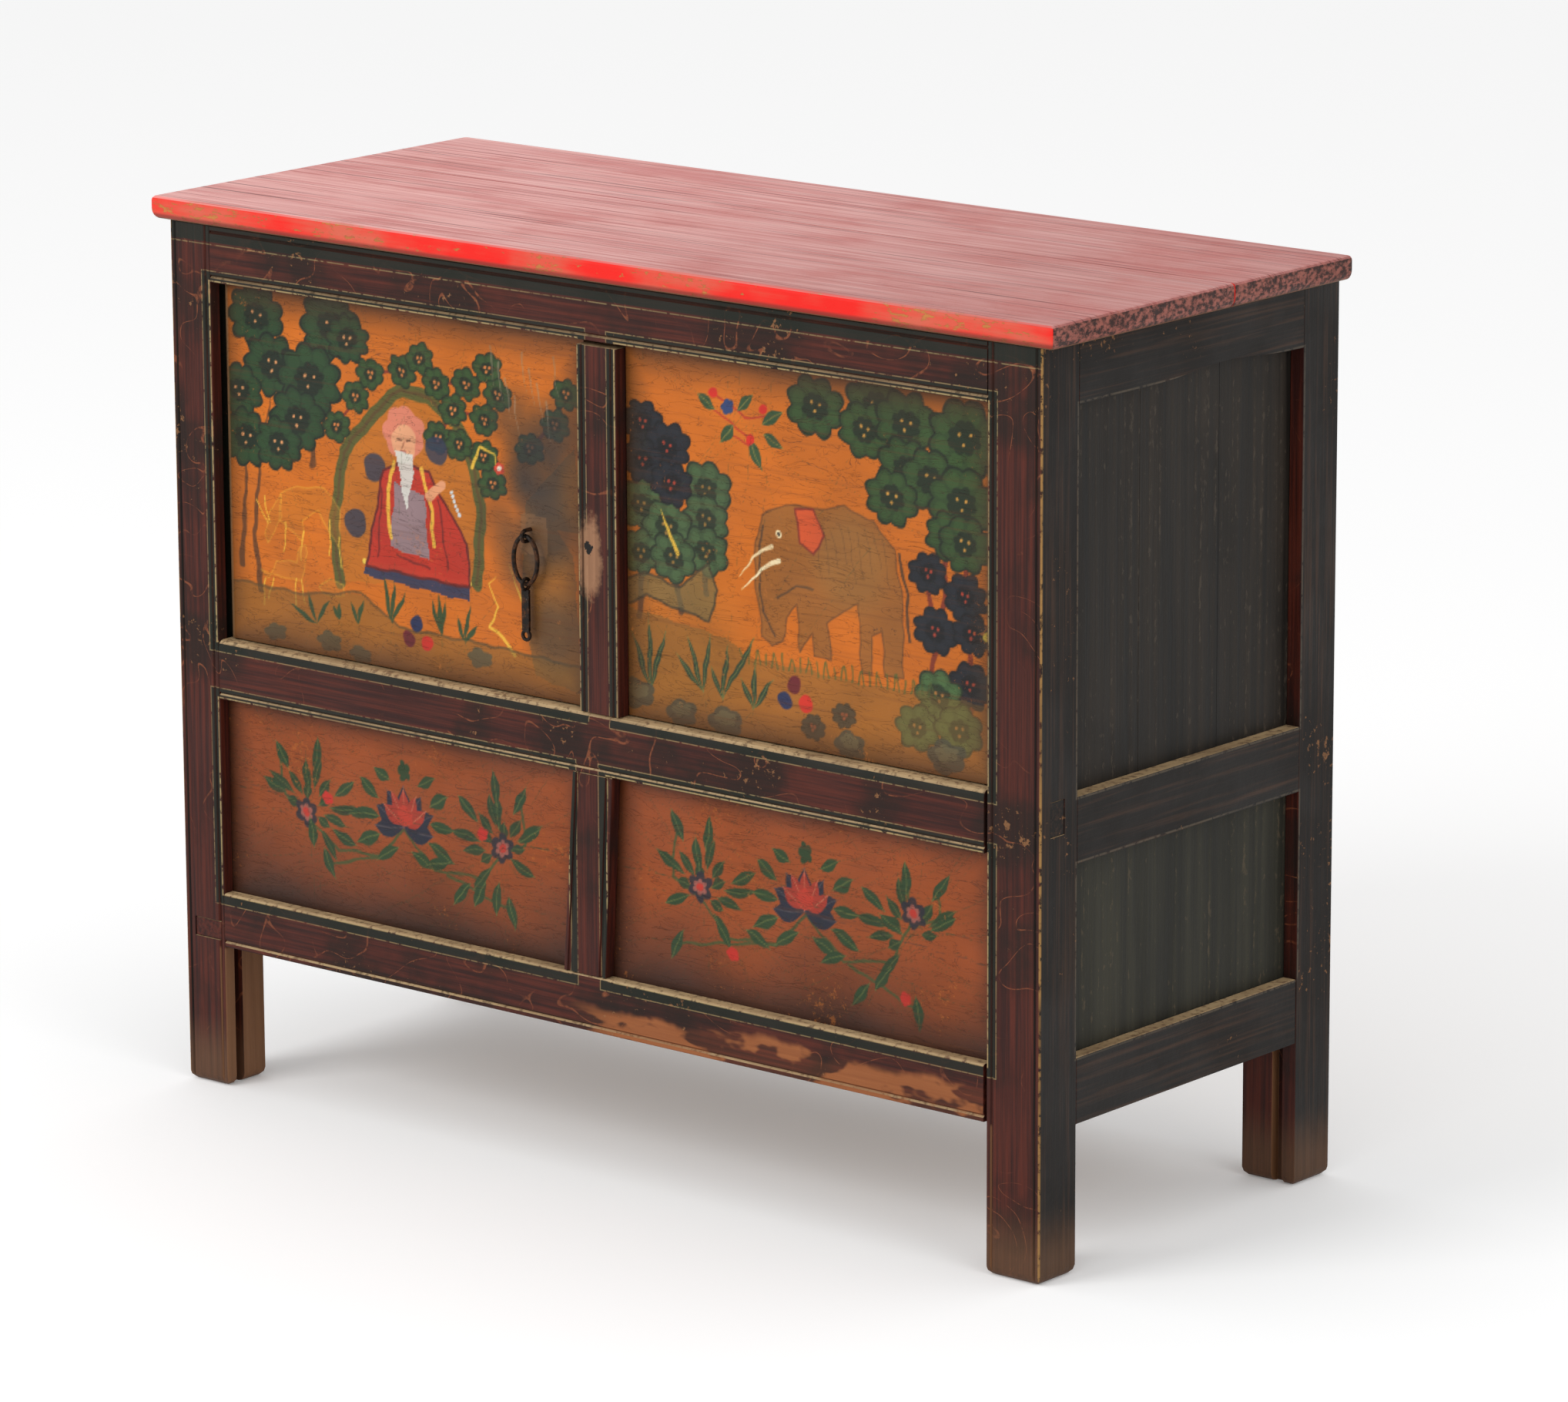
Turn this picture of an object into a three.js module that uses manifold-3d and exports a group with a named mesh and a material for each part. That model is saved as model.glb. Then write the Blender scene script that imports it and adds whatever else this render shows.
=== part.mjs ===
// Painted wooden chest: a tall frame-and-panel chest on four legs, with two painted doors
// that turn on wooden pivot pins, two fixed painted panels below, and a two-board top.
// Millimetres, +Z up. X runs left to right and Y runs from the front to the back.
// The origin is on the floor, under the middle of the whole chest.

import * as THREE from 'three';
import { mergeVertices } from 'three/addons/utils/BufferGeometryUtils.js';
import Module from 'manifold-3d';

const wasm = await Module();
wasm.setup();

// Carcass and posts
const carcassWidth = 970;
const carcassDepth = 406.5;
const postHeight = 784.5;
const leftPostWidth = 47.4;
const rightPostWidth = 55.6;
const frontPostDepth = 48.9;
const rearPostDepth = 50.2;
const footRounding = 8;

// Top boards
const topThickness = 20.8;
const topSideOverhang = 16;
const topFrontOverhang = 6.7;
const topBackSetback = 4.6;
const topFrontBoardWidth = 243.5;
const topEdgeRounding = 4;
const topOvoloHeight = 9;
const topOvoloSetback = 6;
const topCornerClip = 7;

// Front rails, measured from the floor
const frontRailThickness = 40;
const frontTopRailHeight = 50.5;
const frontMiddleRailBottom = 358.7;
const frontMiddleRailHeight = 53.6;
const frontBottomRailBottom = 130.4;
const frontBottomRailHeight = 49.6;
const middleRailSillRounding = 6;
const openShoulderGap = 3;

// Side and back rails
const sideRailThickness = 44;
const backRailThickness = 35;
const sideTopRailHeight = 52.4;
const sideMiddleRailBottom = 349.9;
const sideMiddleRailHeight = 56.4;
const sideBottomRailBottom = 128;
const sideBottomRailHeight = 57.1;
const rightTopRailArchRise = 6;
const rightTopRailArchPlace = 0.65;
const rightTopRailArchSpread = 0.18;

// Stiles between the doors and between the low panels
const centreStileLeft = -11.3;
const centreStileWidth = 43.8;
const centreStileTopGap = 4;
const doorStopThickness = 9.2;
const doorStopLap = 12;
const lowerStileTopLeft = -20.3;
const lowerStileTopWidth = 44.5;
const lowerStileBottomLeft = -32.7;
const lowerStileBottomWidth = 47.1;

// Panels, boards and their grooves
const panelRecess = 12;
const frontPanelThickness = 9;
const sidePanelRecess = 14;
const sidePanelThickness = 10;
const backPanelRecess = 12;
const backPanelThickness = 10;
const grooveDepth = 10;
const grooveEndPlay = 1;
const boardGap = 0.4;
const sideBoardCount = 3;
const backBoardCount = 2;
const floorBoardCount = 5;
const floorThickness = 12;
const floorBottom = 150;
const floorGrooveDepth = 8;

// Tenons of the rails
const frontTenonFace = 13.7;
const frontTenonThickness = 17.9;
const sideTenonFace = 11.5;
const sideTenonThickness = 31.7;
const blindTenonLength = 34;
const blindSideTenonLength = 25;
const throughTenonRecess = 0.5;
const topRailTenonRise = 26;
const topRailTenonHeight = 20;
const middleRailTenonRise = 19.8;
const middleRailTenonHeight = 29.3;
const backMiddleRailTenonHeight = 22;
const bottomRailTenonRise = 25;
const bottomRailTenonHeight = 14;
const sideTopTenonRise = 11;
const sideTopTenonHeight = 14;
const sideMiddleTenonRise = 11.6;
const sideMiddleTenonHeight = 14;
const sideBottomTenonRise = 8;
const sideBottomTenonHeight = 17;
const stileTenonInset = 12;
const stileTenonFace = 16;
const stileTenonThickness = 12;
const stileTenonLength = 20;

// Scratched moulding along the edges of the show faces
const arrisRounding = 1.5;
const mouldingInset = 5.5;
const mouldingGrooveWidth = 3.4;
const mouldingGrooveDepth = 2;

// Doors and their pivot pins
const doorThickness = 18;
const doorClearance = 1.5;
const doorStopGap = 0.8;
const pinRadius = 6;
const pinInDoor = 16;
const pinInRail = 12;
const pinClearance = 0.5;

// Iron staple, ring and strap on the left door
const stapleX = -75.4;
const stapleZ = 555;
const stapleWireRadius = 1.8;
const stapleBowRadius = 4.7;
const stapleBite = 12;
const ringStandOff = 7;
const ringWireRadius = 2;
const ringWidth = 27;
const ringHeight = 42;
const strapEyeRadius = 4.7;
const strapEyeWireRadius = 1.6;
const strapLength = 36;
const strapWidth = 8;
const strapThickness = 2.4;

// Fits
const fitGap = 0.3;
const cutOver = 1;

// Places that follow from the sizes
const carcassLeft = -carcassWidth / 2;
const carcassRight = carcassWidth / 2;
const leftPostInner = carcassLeft + leftPostWidth;
const rightPostInner = carcassRight - rightPostWidth;
const rearPostFront = carcassDepth - rearPostDepth;
const frontTopRailBottom = postHeight - frontTopRailHeight;
const frontMiddleRailTop = frontMiddleRailBottom + frontMiddleRailHeight;
const frontBottomRailTop = frontBottomRailBottom + frontBottomRailHeight;
const sideTopRailBottom = postHeight - sideTopRailHeight;
const sideMiddleRailTop = sideMiddleRailBottom + sideMiddleRailHeight;
const sideBottomRailTop = sideBottomRailBottom + sideBottomRailHeight;
const centreStileRight = centreStileLeft + centreStileWidth;
const doorBack = panelRecess + doorThickness;
const doorAxisDepth = panelRecess + doorThickness / 2;
const tongueLength = grooveDepth - grooveEndPlay;

// Colours and finishes
const paintedTop = { color: 0xc58480, roughness: 0.6, metalness: 0 };
const paintedFrame = { color: 0x4a231c, roughness: 0.5, metalness: 0 };
const paintedDoor = { color: 0xb9611a, roughness: 0.5, metalness: 0 };
const paintedLowPanel = { color: 0x86471b, roughness: 0.5, metalness: 0 };
const darkSide = { color: 0x25221f, roughness: 0.6, metalness: 0 };
const bareWood = { color: 0x8a6240, roughness: 0.75, metalness: 0 };
const darkIron = { color: 0x2c2825, roughness: 0.55, metalness: 0.8 };

// Turns a closed three.js geometry into a solid that can be cut and joined.
function toSolid(geometry) {
  const bare = geometry.clone();
  bare.deleteAttribute('normal');
  bare.deleteAttribute('uv');
  const merged = mergeVertices(bare, 1e-4);
  const vertProperties = new Float32Array(merged.attributes.position.array);
  const triVerts = new Uint32Array(merged.index.array);
  return new wasm.Manifold(new wasm.Mesh({ numProp: 3, vertProperties, triVerts }));
}

// Turns a finished solid back into a geometry.
function toGeometry(solid) {
  const { vertProperties, triVerts } = solid.getMesh();
  const geometry = new THREE.BufferGeometry();
  geometry.setAttribute('position', new THREE.BufferAttribute(vertProperties, 3));
  geometry.setIndex(new THREE.BufferAttribute(triVerts, 1));
  geometry.computeVertexNormals();
  return geometry;
}

// Extrudes an outline by a depth along its own third axis.
function extrudeOutline(points, depth) {
  const shape = new THREE.Shape(points.map(([a, b]) => new THREE.Vector2(a, b)));
  return new THREE.ExtrudeGeometry(shape, { depth, bevelEnabled: false });
}

// A plan outline of [x, y] points, standing from one height to another.
function standing(points, bottom, top) {
  const geometry = extrudeOutline(points, top - bottom);
  geometry.translate(0, 0, bottom);
  return toSolid(geometry);
}

// An end outline of [y, z] points, lying from one x to another.
function lyingAcross(points, left, right) {
  const geometry = extrudeOutline(points, right - left);
  const turn = new THREE.Matrix4();
  turn.makeBasis(new THREE.Vector3(0, 1, 0), new THREE.Vector3(0, 0, 1), new THREE.Vector3(1, 0, 0));
  geometry.applyMatrix4(turn);
  geometry.translate(left, 0, 0);
  return toSolid(geometry);
}

// A front outline of [x, z] points, reaching from one y back to another.
function reachingBack(points, front, back) {
  const geometry = extrudeOutline(points, back - front);
  geometry.rotateX(Math.PI / 2);
  geometry.translate(0, back, 0);
  return toSolid(geometry);
}

// A square-edged block given by its limits along x, y and z.
function block([left, right], [front, back], [bottom, top]) {
  const geometry = new THREE.BoxGeometry(right - left, back - front, top - bottom);
  geometry.translate((left + right) / 2, (front + back) / 2, (bottom + top) / 2);
  return toSolid(geometry);
}

// The same limits, wider by a gap at each end.
function widened([low, high], gap) {
  return [low - gap, high + gap];
}

// A block that leaves a gap all round another with these limits.
function looseBlock(limits, gap = fitGap) {
  return block(...limits.map((pair) => widened(pair, gap)));
}

// A quarter circle from [0, radius] to [radius, 0], bulging towards [0, 0].
function roundedCorner(radius, steps) {
  return Array.from({ length: steps + 1 }, (_, step) => {
    const angle = (step / steps) * (Math.PI / 2);
    return [radius * (1 - Math.cos(angle)), radius * (1 - Math.sin(angle))];
  });
}

// One edge of a show face: its rounding, then a scratched groove if it has one.
function showEdge(rounding, hasGroove) {
  const corner = roundedCorner(rounding, 3);
  const half = mouldingGrooveWidth / 2;
  const groove = [[mouldingInset - half, 0], [mouldingInset, mouldingGrooveDepth], [mouldingInset + half, 0]];
  return hasGroove ? [...corner, ...groove] : corner;
}

// Outline of a timber, as distances across its show face and inwards from it.
function timberOutline(width, thickness, lowEdge, highEdge) {
  const farEdge = highEdge.map(([across, inwards]) => [width - across, inwards]).reverse();
  return [[0, thickness], ...lowEdge, ...farEdge, [width, thickness]];
}

// A leg's end form: a block whose four lower edges are rounded.
function footForm([left, right], [front, back], top) {
  const corner = roundedCorner(footRounding, 3);
  const outline = (low, high) => [
    [low, top],
    ...corner.map(([a, b]) => [low + a, b]),
    ...corner.map(([a, b]) => [high - a, b]).reverse(),
    [high, top],
  ];
  const acrossX = reachingBack(outline(left, right), front - cutOver, back + cutOver);
  const acrossY = lyingAcross(outline(front, back), left - cutOver, right + cutOver);
  return acrossX.intersect(acrossY);
}

// Tenons, as limits along x, y and z. Each is used for the tenon and for its mortise.
const frontTenonDepths = [frontTenonFace, frontTenonFace + frontTenonThickness];
const backTenonDepths = [carcassDepth - frontTenonFace - frontTenonThickness, carcassDepth - frontTenonFace];
const topTenonHeights = [frontTopRailBottom + topRailTenonRise,
  frontTopRailBottom + topRailTenonRise + topRailTenonHeight];
const middleTenonHeights = [frontMiddleRailBottom + middleRailTenonRise,
  frontMiddleRailBottom + middleRailTenonRise + middleRailTenonHeight];
const backMiddleTenonHeights = [frontMiddleRailBottom + middleRailTenonRise,
  frontMiddleRailBottom + middleRailTenonRise + backMiddleRailTenonHeight];
const bottomTenonHeights = [frontBottomRailBottom + bottomRailTenonRise,
  frontBottomRailBottom + bottomRailTenonRise + bottomRailTenonHeight];
const sideTopTenonHeights = [sideTopRailBottom + sideTopTenonRise,
  sideTopRailBottom + sideTopTenonRise + sideTopTenonHeight];
const sideMiddleTenonHeights = [sideMiddleRailBottom + sideMiddleTenonRise,
  sideMiddleRailBottom + sideMiddleTenonRise + sideMiddleTenonHeight];
const sideBottomTenonHeights = [sideBottomRailBottom + sideBottomTenonRise,
  sideBottomRailBottom + sideBottomTenonRise + sideBottomTenonHeight];

// How far a tenon that runs along x reaches, from the shoulders of the two posts.
const blindAcross = [leftPostInner - blindTenonLength, rightPostInner + blindTenonLength];
const throughAcross = [carcassLeft + throughTenonRecess, carcassRight - throughTenonRecess];

// How far a tenon that runs along y reaches.
const blindBack = [frontPostDepth - blindSideTenonLength, rearPostFront + blindSideTenonLength];
const throughFront = [throughTenonRecess, rearPostFront + blindSideTenonLength];

const leftSideTenonAcross = [carcassLeft + sideTenonFace, carcassLeft + sideTenonFace + sideTenonThickness];
const rightSideTenonAcross = [carcassRight - sideTenonFace - sideTenonThickness,
  carcassRight - sideTenonFace];

const frontTopTenons = [blindAcross, frontTenonDepths, topTenonHeights];
const frontMiddleTenons = [throughAcross, frontTenonDepths, middleTenonHeights];
const frontBottomTenons = [blindAcross, frontTenonDepths, bottomTenonHeights];
const backTopTenons = [blindAcross, backTenonDepths, topTenonHeights];
const backMiddleTenons = [blindAcross, backTenonDepths, backMiddleTenonHeights];
const backBottomTenons = [blindAcross, backTenonDepths, bottomTenonHeights];
const leftTopTenons = [leftSideTenonAcross, blindBack, sideTopTenonHeights];
const leftMiddleTenons = [leftSideTenonAcross, blindBack, sideMiddleTenonHeights];
const leftBottomTenons = [leftSideTenonAcross, throughFront, sideBottomTenonHeights];
const rightTopTenons = [rightSideTenonAcross, blindBack, sideTopTenonHeights];
const rightMiddleTenons = [rightSideTenonAcross, blindBack, sideMiddleTenonHeights];
const rightBottomTenons = [rightSideTenonAcross, blindBack, sideBottomTenonHeights];

const tenonsIntoFrontPosts = [frontTopTenons, frontMiddleTenons, frontBottomTenons];
const tenonsIntoRearPosts = [backTopTenons, backMiddleTenons, backBottomTenons];
const tenonsOnLeft = [leftTopTenons, leftMiddleTenons, leftBottomTenons];
const tenonsOnRight = [rightTopTenons, rightMiddleTenons, rightBottomTenons];

// Cuts mortises for tenons. The end of a through tenon leaves its mortise open.
function cutMortises(solid, tenons) {
  return tenons.reduce((result, [across, depths, heights]) => {
    const isOpenAcross = across === throughAcross;
    const isOpenFront = depths === throughFront;
    const acrossLimits = isOpenAcross ? widened(across, cutOver) : widened(across, fitGap);
    const depthLimits = isOpenFront ? [depths[0] - cutOver, depths[1] + fitGap] : widened(depths, fitGap);
    return result.subtract(block(acrossLimits, depthLimits, widened(heights, fitGap)));
  }, solid);
}

// Grooves of the panels
const overHeight = [-cutOver, postHeight + cutOver];
const frontGrooveDepths = widened([panelRecess, panelRecess + frontPanelThickness], fitGap);
const backGrooveDepths = widened(
  [carcassDepth - backPanelRecess - backPanelThickness, carcassDepth - backPanelRecess], fitGap);
const leftGrooveAcross = widened(
  [carcassLeft + sidePanelRecess, carcassLeft + sidePanelRecess + sidePanelThickness], fitGap);
const rightGrooveAcross = widened(
  [carcassRight - sidePanelRecess - sidePanelThickness, carcassRight - sidePanelRecess], fitGap);

// Posts: each runs down into a leg, so its panel grooves show on the leg as well.
function makePost(isLeft, isFront) {
  const across = isLeft ? [carcassLeft, leftPostInner] : [rightPostInner, carcassRight];
  const depths = isFront ? [0, frontPostDepth] : [rearPostFront, carcassDepth];
  const edge = showEdge(arrisRounding, isFront);
  const outline = timberOutline(across[1] - across[0], depths[1] - depths[0], edge, edge);
  const plan = outline.map(([a, d]) => [across[0] + a, isFront ? d : carcassDepth - d]);
  const panelGrooveDepths = isFront ? frontGrooveDepths : backGrooveDepths;
  const panelGrooveAcross = isLeft
    ? [leftPostInner - grooveDepth, leftPostInner + cutOver]
    : [rightPostInner - cutOver, rightPostInner + grooveDepth];
  const sideGrooveDepths = isFront
    ? [frontPostDepth - grooveDepth, frontPostDepth + cutOver]
    : [rearPostFront - cutOver, rearPostFront + grooveDepth];
  const sideGrooveAcross = isLeft ? leftGrooveAcross : rightGrooveAcross;
  const grooved = standing(plan, 0, postHeight)
    .intersect(footForm(across, depths, postHeight + cutOver))
    .subtract(block(panelGrooveAcross, panelGrooveDepths, overHeight))
    .subtract(block(sideGrooveAcross, sideGrooveDepths, overHeight));
  const straightTenons = isFront ? tenonsIntoFrontPosts : tenonsIntoRearPosts;
  const sideTenons = isLeft ? tenonsOnLeft : tenonsOnRight;
  return cutMortises(grooved, [...straightTenons, ...sideTenons]);
}

// A front rail lies across the front with its tenons; its right shoulder may stand open.
function makeFrontRail([bottom, top], lowEdge, highEdge, tenons, rightGap) {
  const outline = timberOutline(top - bottom, frontRailThickness, lowEdge, highEdge);
  const end = outline.map(([a, d]) => [d, bottom + a]);
  return lyingAcross(end, leftPostInner + fitGap, rightPostInner - rightGap).add(block(...tenons));
}

// Cuts a panel groove along the upper or lower edge of a rail.
function cutRailGroove(rail, across, depths, edgeHeight, isUpperEdge) {
  const heights = isUpperEdge
    ? [edgeHeight - grooveDepth, edgeHeight + cutOver]
    : [edgeHeight - cutOver, edgeHeight + grooveDepth];
  return rail.subtract(block(across, depths, heights));
}

const betweenPostsAcross = [leftPostInner - cutOver, rightPostInner + cutOver];
const floorLimitsAcross = [leftPostInner + fitGap, rightPostInner - fitGap];
const floorLimitsDepth = [frontRailThickness - floorGrooveDepth + grooveEndPlay,
  carcassDepth - backRailThickness + floorGrooveDepth - grooveEndPlay];
const floorHeights = [floorBottom, floorBottom + floorThickness];
const floorGroove = block(
  widened(floorLimitsAcross, cutOver),
  widened(floorLimitsDepth, grooveEndPlay),
  widened(floorHeights, fitGap));

// Stile tenons and the pivot holes, cut into the rails above and below them
const centreStileTenonAcross = [centreStileLeft + stileTenonInset, centreStileRight - stileTenonInset];
const stileTenonDepths = [stileTenonFace, stileTenonFace + stileTenonThickness];
const centreStileTenon = [centreStileTenonAcross, stileTenonDepths,
  [frontMiddleRailTop - stileTenonLength, frontTopRailBottom + stileTenonLength]];
const lowerStileTopTenonAcross = [lowerStileTopLeft + stileTenonInset,
  lowerStileTopLeft + lowerStileTopWidth - stileTenonInset];
const lowerStileBottomTenonAcross = [lowerStileBottomLeft + stileTenonInset,
  lowerStileBottomLeft + lowerStileBottomWidth - stileTenonInset];
const lowerStileTopTenon = [lowerStileTopTenonAcross, stileTenonDepths,
  [frontMiddleRailBottom - stileTenonLength, frontMiddleRailBottom + stileTenonLength]];
const lowerStileBottomTenon = [lowerStileBottomTenonAcross, stileTenonDepths,
  [frontBottomRailTop - stileTenonLength, frontBottomRailTop + stileTenonLength]];

const leftDoorAxis = leftPostInner + doorClearance + doorThickness / 2;
const rightDoorAxis = rightPostInner - doorClearance - doorThickness / 2;
const doorBottom = frontMiddleRailTop + doorClearance;
const doorTop = frontTopRailBottom - doorClearance;

// An upright round bar on a pivot axis.
function uprightBar(x, y, radius, [bottom, top]) {
  const geometry = new THREE.CylinderGeometry(radius, radius, top - bottom, 20);
  geometry.rotateX(Math.PI / 2);
  geometry.translate(x, y, (bottom + top) / 2);
  return toSolid(geometry);
}

function cutPivotHoles(rail, heights) {
  const radius = pinRadius + pinClearance;
  return rail
    .subtract(uprightBar(leftDoorAxis, doorAxisDepth, radius, heights))
    .subtract(uprightBar(rightDoorAxis, doorAxisDepth, radius, heights));
}

function makeFrontTopRail() {
  const edge = showEdge(arrisRounding, true);
  const rail = makeFrontRail([frontTopRailBottom, postHeight], edge, edge, frontTopTenons, fitGap);
  const holeTop = frontTopRailBottom + pinInRail + fitGap;
  return cutPivotHoles(rail, [frontTopRailBottom - cutOver, holeTop]).subtract(looseBlock(centreStileTenon));
}

function makeFrontMiddleRail() {
  const sill = showEdge(middleRailSillRounding, false);
  const lowEdge = showEdge(arrisRounding, true);
  const heights = [frontMiddleRailBottom, frontMiddleRailTop];
  const rail = makeFrontRail(heights, lowEdge, sill, frontMiddleTenons, openShoulderGap);
  const grooved = cutRailGroove(rail, betweenPostsAcross, frontGrooveDepths, frontMiddleRailBottom, false);
  const holeBottom = frontMiddleRailTop - pinInRail - fitGap;
  return cutPivotHoles(grooved, [holeBottom, frontMiddleRailTop + cutOver])
    .subtract(looseBlock(centreStileTenon))
    .subtract(looseBlock(lowerStileTopTenon));
}

function makeFrontBottomRail() {
  const lowEdge = showEdge(arrisRounding, true);
  const highEdge = showEdge(middleRailSillRounding / 2, false);
  const heights = [frontBottomRailBottom, frontBottomRailTop];
  const rail = makeFrontRail(heights, lowEdge, highEdge, frontBottomTenons, openShoulderGap);
  return cutRailGroove(rail, betweenPostsAcross, frontGrooveDepths, frontBottomRailTop, true)
    .subtract(floorGroove)
    .subtract(looseBlock(lowerStileBottomTenon));
}

// A back rail, square edged, between the rear posts.
function makeBackRail([bottom, top], tenons, hasGrooveBelow, hasGrooveAbove) {
  const across = [leftPostInner + fitGap, rightPostInner - fitGap];
  const plain = block(across, [carcassDepth - backRailThickness, carcassDepth], [bottom, top]);
  const rail = plain.add(block(...tenons));
  const lower = hasGrooveBelow
    ? cutRailGroove(rail, betweenPostsAcross, backGrooveDepths, bottom, false)
    : rail;
  return hasGrooveAbove ? cutRailGroove(lower, betweenPostsAcross, backGrooveDepths, top, true) : lower;
}

// A side rail. Its lower edge may rise in an arch, a share of the way from front to back.
function makeSideRail(isLeft, [bottom, top], tenons, hasGrooveBelow, hasGrooveAbove, archRise = 0) {
  const front = frontPostDepth + fitGap;
  const back = rearPostFront - fitGap;
  const steps = archRise > 0 ? 12 : 1;
  const lowerEdge = Array.from({ length: steps + 1 }, (_, step) => {
    const share = step / steps;
    const away = (share - rightTopRailArchPlace) / rightTopRailArchSpread;
    return [front + share * (back - front), bottom + archRise * Math.exp(-away * away)];
  });
  const across = isLeft
    ? [carcassLeft, carcassLeft + sideRailThickness]
    : [carcassRight - sideRailThickness, carcassRight];
  const rail = lyingAcross([...lowerEdge, [back, top], [front, top]], ...across).add(block(...tenons));
  const grooveAcross = isLeft ? leftGrooveAcross : rightGrooveAcross;
  const run = [frontPostDepth - cutOver, rearPostFront + cutOver];
  const lower = hasGrooveBelow ? cutRailGroove(rail, grooveAcross, run, bottom, false) : rail;
  return hasGrooveAbove ? cutRailGroove(lower, grooveAcross, run, top, true) : lower;
}

// Stile between the doors. Its wider back half is the stop that the doors close on.
function makeCentreStile() {
  const edge = showEdge(arrisRounding, true);
  const outline = timberOutline(centreStileWidth, doorBack + doorStopGap + doorStopThickness, edge, edge);
  const plan = outline.map(([a, d]) => [centreStileLeft + a, d]);
  const bottom = frontMiddleRailTop + fitGap;
  const top = frontTopRailBottom - centreStileTopGap;
  const stopAcross = widened([centreStileLeft, centreStileRight], doorStopLap);
  const stopDepths = [doorBack + doorStopGap, doorBack + doorStopGap + doorStopThickness];
  return standing(plan, bottom, top)
    .add(block(stopAcross, stopDepths, [bottom, top]))
    .add(block(...centreStileTenon));
}

// Stile between the low panels, which leans to the left as it goes down.
function lowerStileSide(topX, bottomX, height) {
  const share = (height - frontBottomRailTop) / (frontMiddleRailBottom - frontBottomRailTop);
  return bottomX + share * (topX - bottomX);
}

const lowerStileLeftSide = (height) => lowerStileSide(lowerStileTopLeft, lowerStileBottomLeft, height);
const lowerStileRightSide = (height) => lowerStileSide(
  lowerStileTopLeft + lowerStileTopWidth, lowerStileBottomLeft + lowerStileBottomWidth, height);

// The front outline of a leaning strip between two offsets from one of the stile's sides.
function leaningStrip(side, [near, far], [bottom, top]) {
  return [[side(bottom) + near, bottom], [side(bottom) + far, bottom],
    [side(top) + far, top], [side(top) + near, top]];
}

function makeLowerStile() {
  const bottom = frontBottomRailTop + fitGap;
  const top = frontMiddleRailBottom - fitGap;
  const outline = [[lowerStileLeftSide(bottom), bottom], [lowerStileRightSide(bottom), bottom],
    [lowerStileRightSide(top), top], [lowerStileLeftSide(top), top]];
  const reach = [bottom - cutOver, top + cutOver];
  const halfGroove = mouldingGrooveWidth / 2;
  const leftGroove = reachingBack(
    leaningStrip(lowerStileLeftSide, [-cutOver, grooveDepth], reach), ...frontGrooveDepths);
  const rightGroove = reachingBack(
    leaningStrip(lowerStileRightSide, [-grooveDepth, cutOver], reach), ...frontGrooveDepths);
  const leftScratch = reachingBack(
    leaningStrip(lowerStileLeftSide, [mouldingInset - halfGroove, mouldingInset + halfGroove], reach),
    -cutOver, mouldingGrooveDepth);
  const rightScratch = reachingBack(
    leaningStrip(lowerStileRightSide, [-mouldingInset - halfGroove, -mouldingInset + halfGroove], reach),
    -cutOver, mouldingGrooveDepth);
  return reachingBack(outline, 0, frontRailThickness)
    .subtract(leftGroove)
    .subtract(rightGroove)
    .subtract(leftScratch)
    .subtract(rightScratch)
    .add(block(...lowerStileTopTenon).subtract(block(
      widened(lowerStileTopTenonAcross, cutOver), widened(stileTenonDepths, cutOver),
      [frontMiddleRailBottom - stileTenonLength - cutOver, top - cutOver])))
    .add(block(...lowerStileBottomTenon).subtract(block(
      widened(lowerStileBottomTenonAcross, cutOver), widened(stileTenonDepths, cutOver),
      [bottom + cutOver, frontBottomRailTop + stileTenonLength + cutOver])));
}

// Low painted panels, held in grooves on all four sides.
function makeLowFrontPanel(isLeft) {
  const bottom = frontBottomRailTop - tongueLength;
  const top = frontMiddleRailBottom + tongueLength;
  const postSide = isLeft ? leftPostInner - tongueLength : rightPostInner + tongueLength;
  const stileSide = (height) => (isLeft
    ? lowerStileLeftSide(height) + tongueLength
    : lowerStileRightSide(height) - tongueLength);
  const heightInside = [frontBottomRailTop + fitGap, frontMiddleRailBottom - fitGap];
  const clearOfStile = (height) => (isLeft
    ? lowerStileLeftSide(height) - fitGap
    : lowerStileRightSide(height) + fitGap);
  const stileEdge = [
    [clearOfStile(bottom), bottom],
    [clearOfStile(heightInside[0]), heightInside[0]],
    [stileSide(heightInside[0] + fitGap), heightInside[0] + fitGap],
    [stileSide(heightInside[1] - fitGap), heightInside[1] - fitGap],
    [clearOfStile(heightInside[1]), heightInside[1]],
    [clearOfStile(top), top],
  ];
  const outline = [[postSide, bottom], ...stileEdge, [postSide, top]];
  return reachingBack(outline, panelRecess, panelRecess + frontPanelThickness);
}

// Splits a run into boards with a gap between neighbours.
function boardLimits([low, high], count) {
  const width = (high - low - (count - 1) * boardGap) / count;
  return Array.from({ length: count }, (_, index) => {
    const start = low + index * (width + boardGap);
    return [start, start + width];
  });
}

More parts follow.
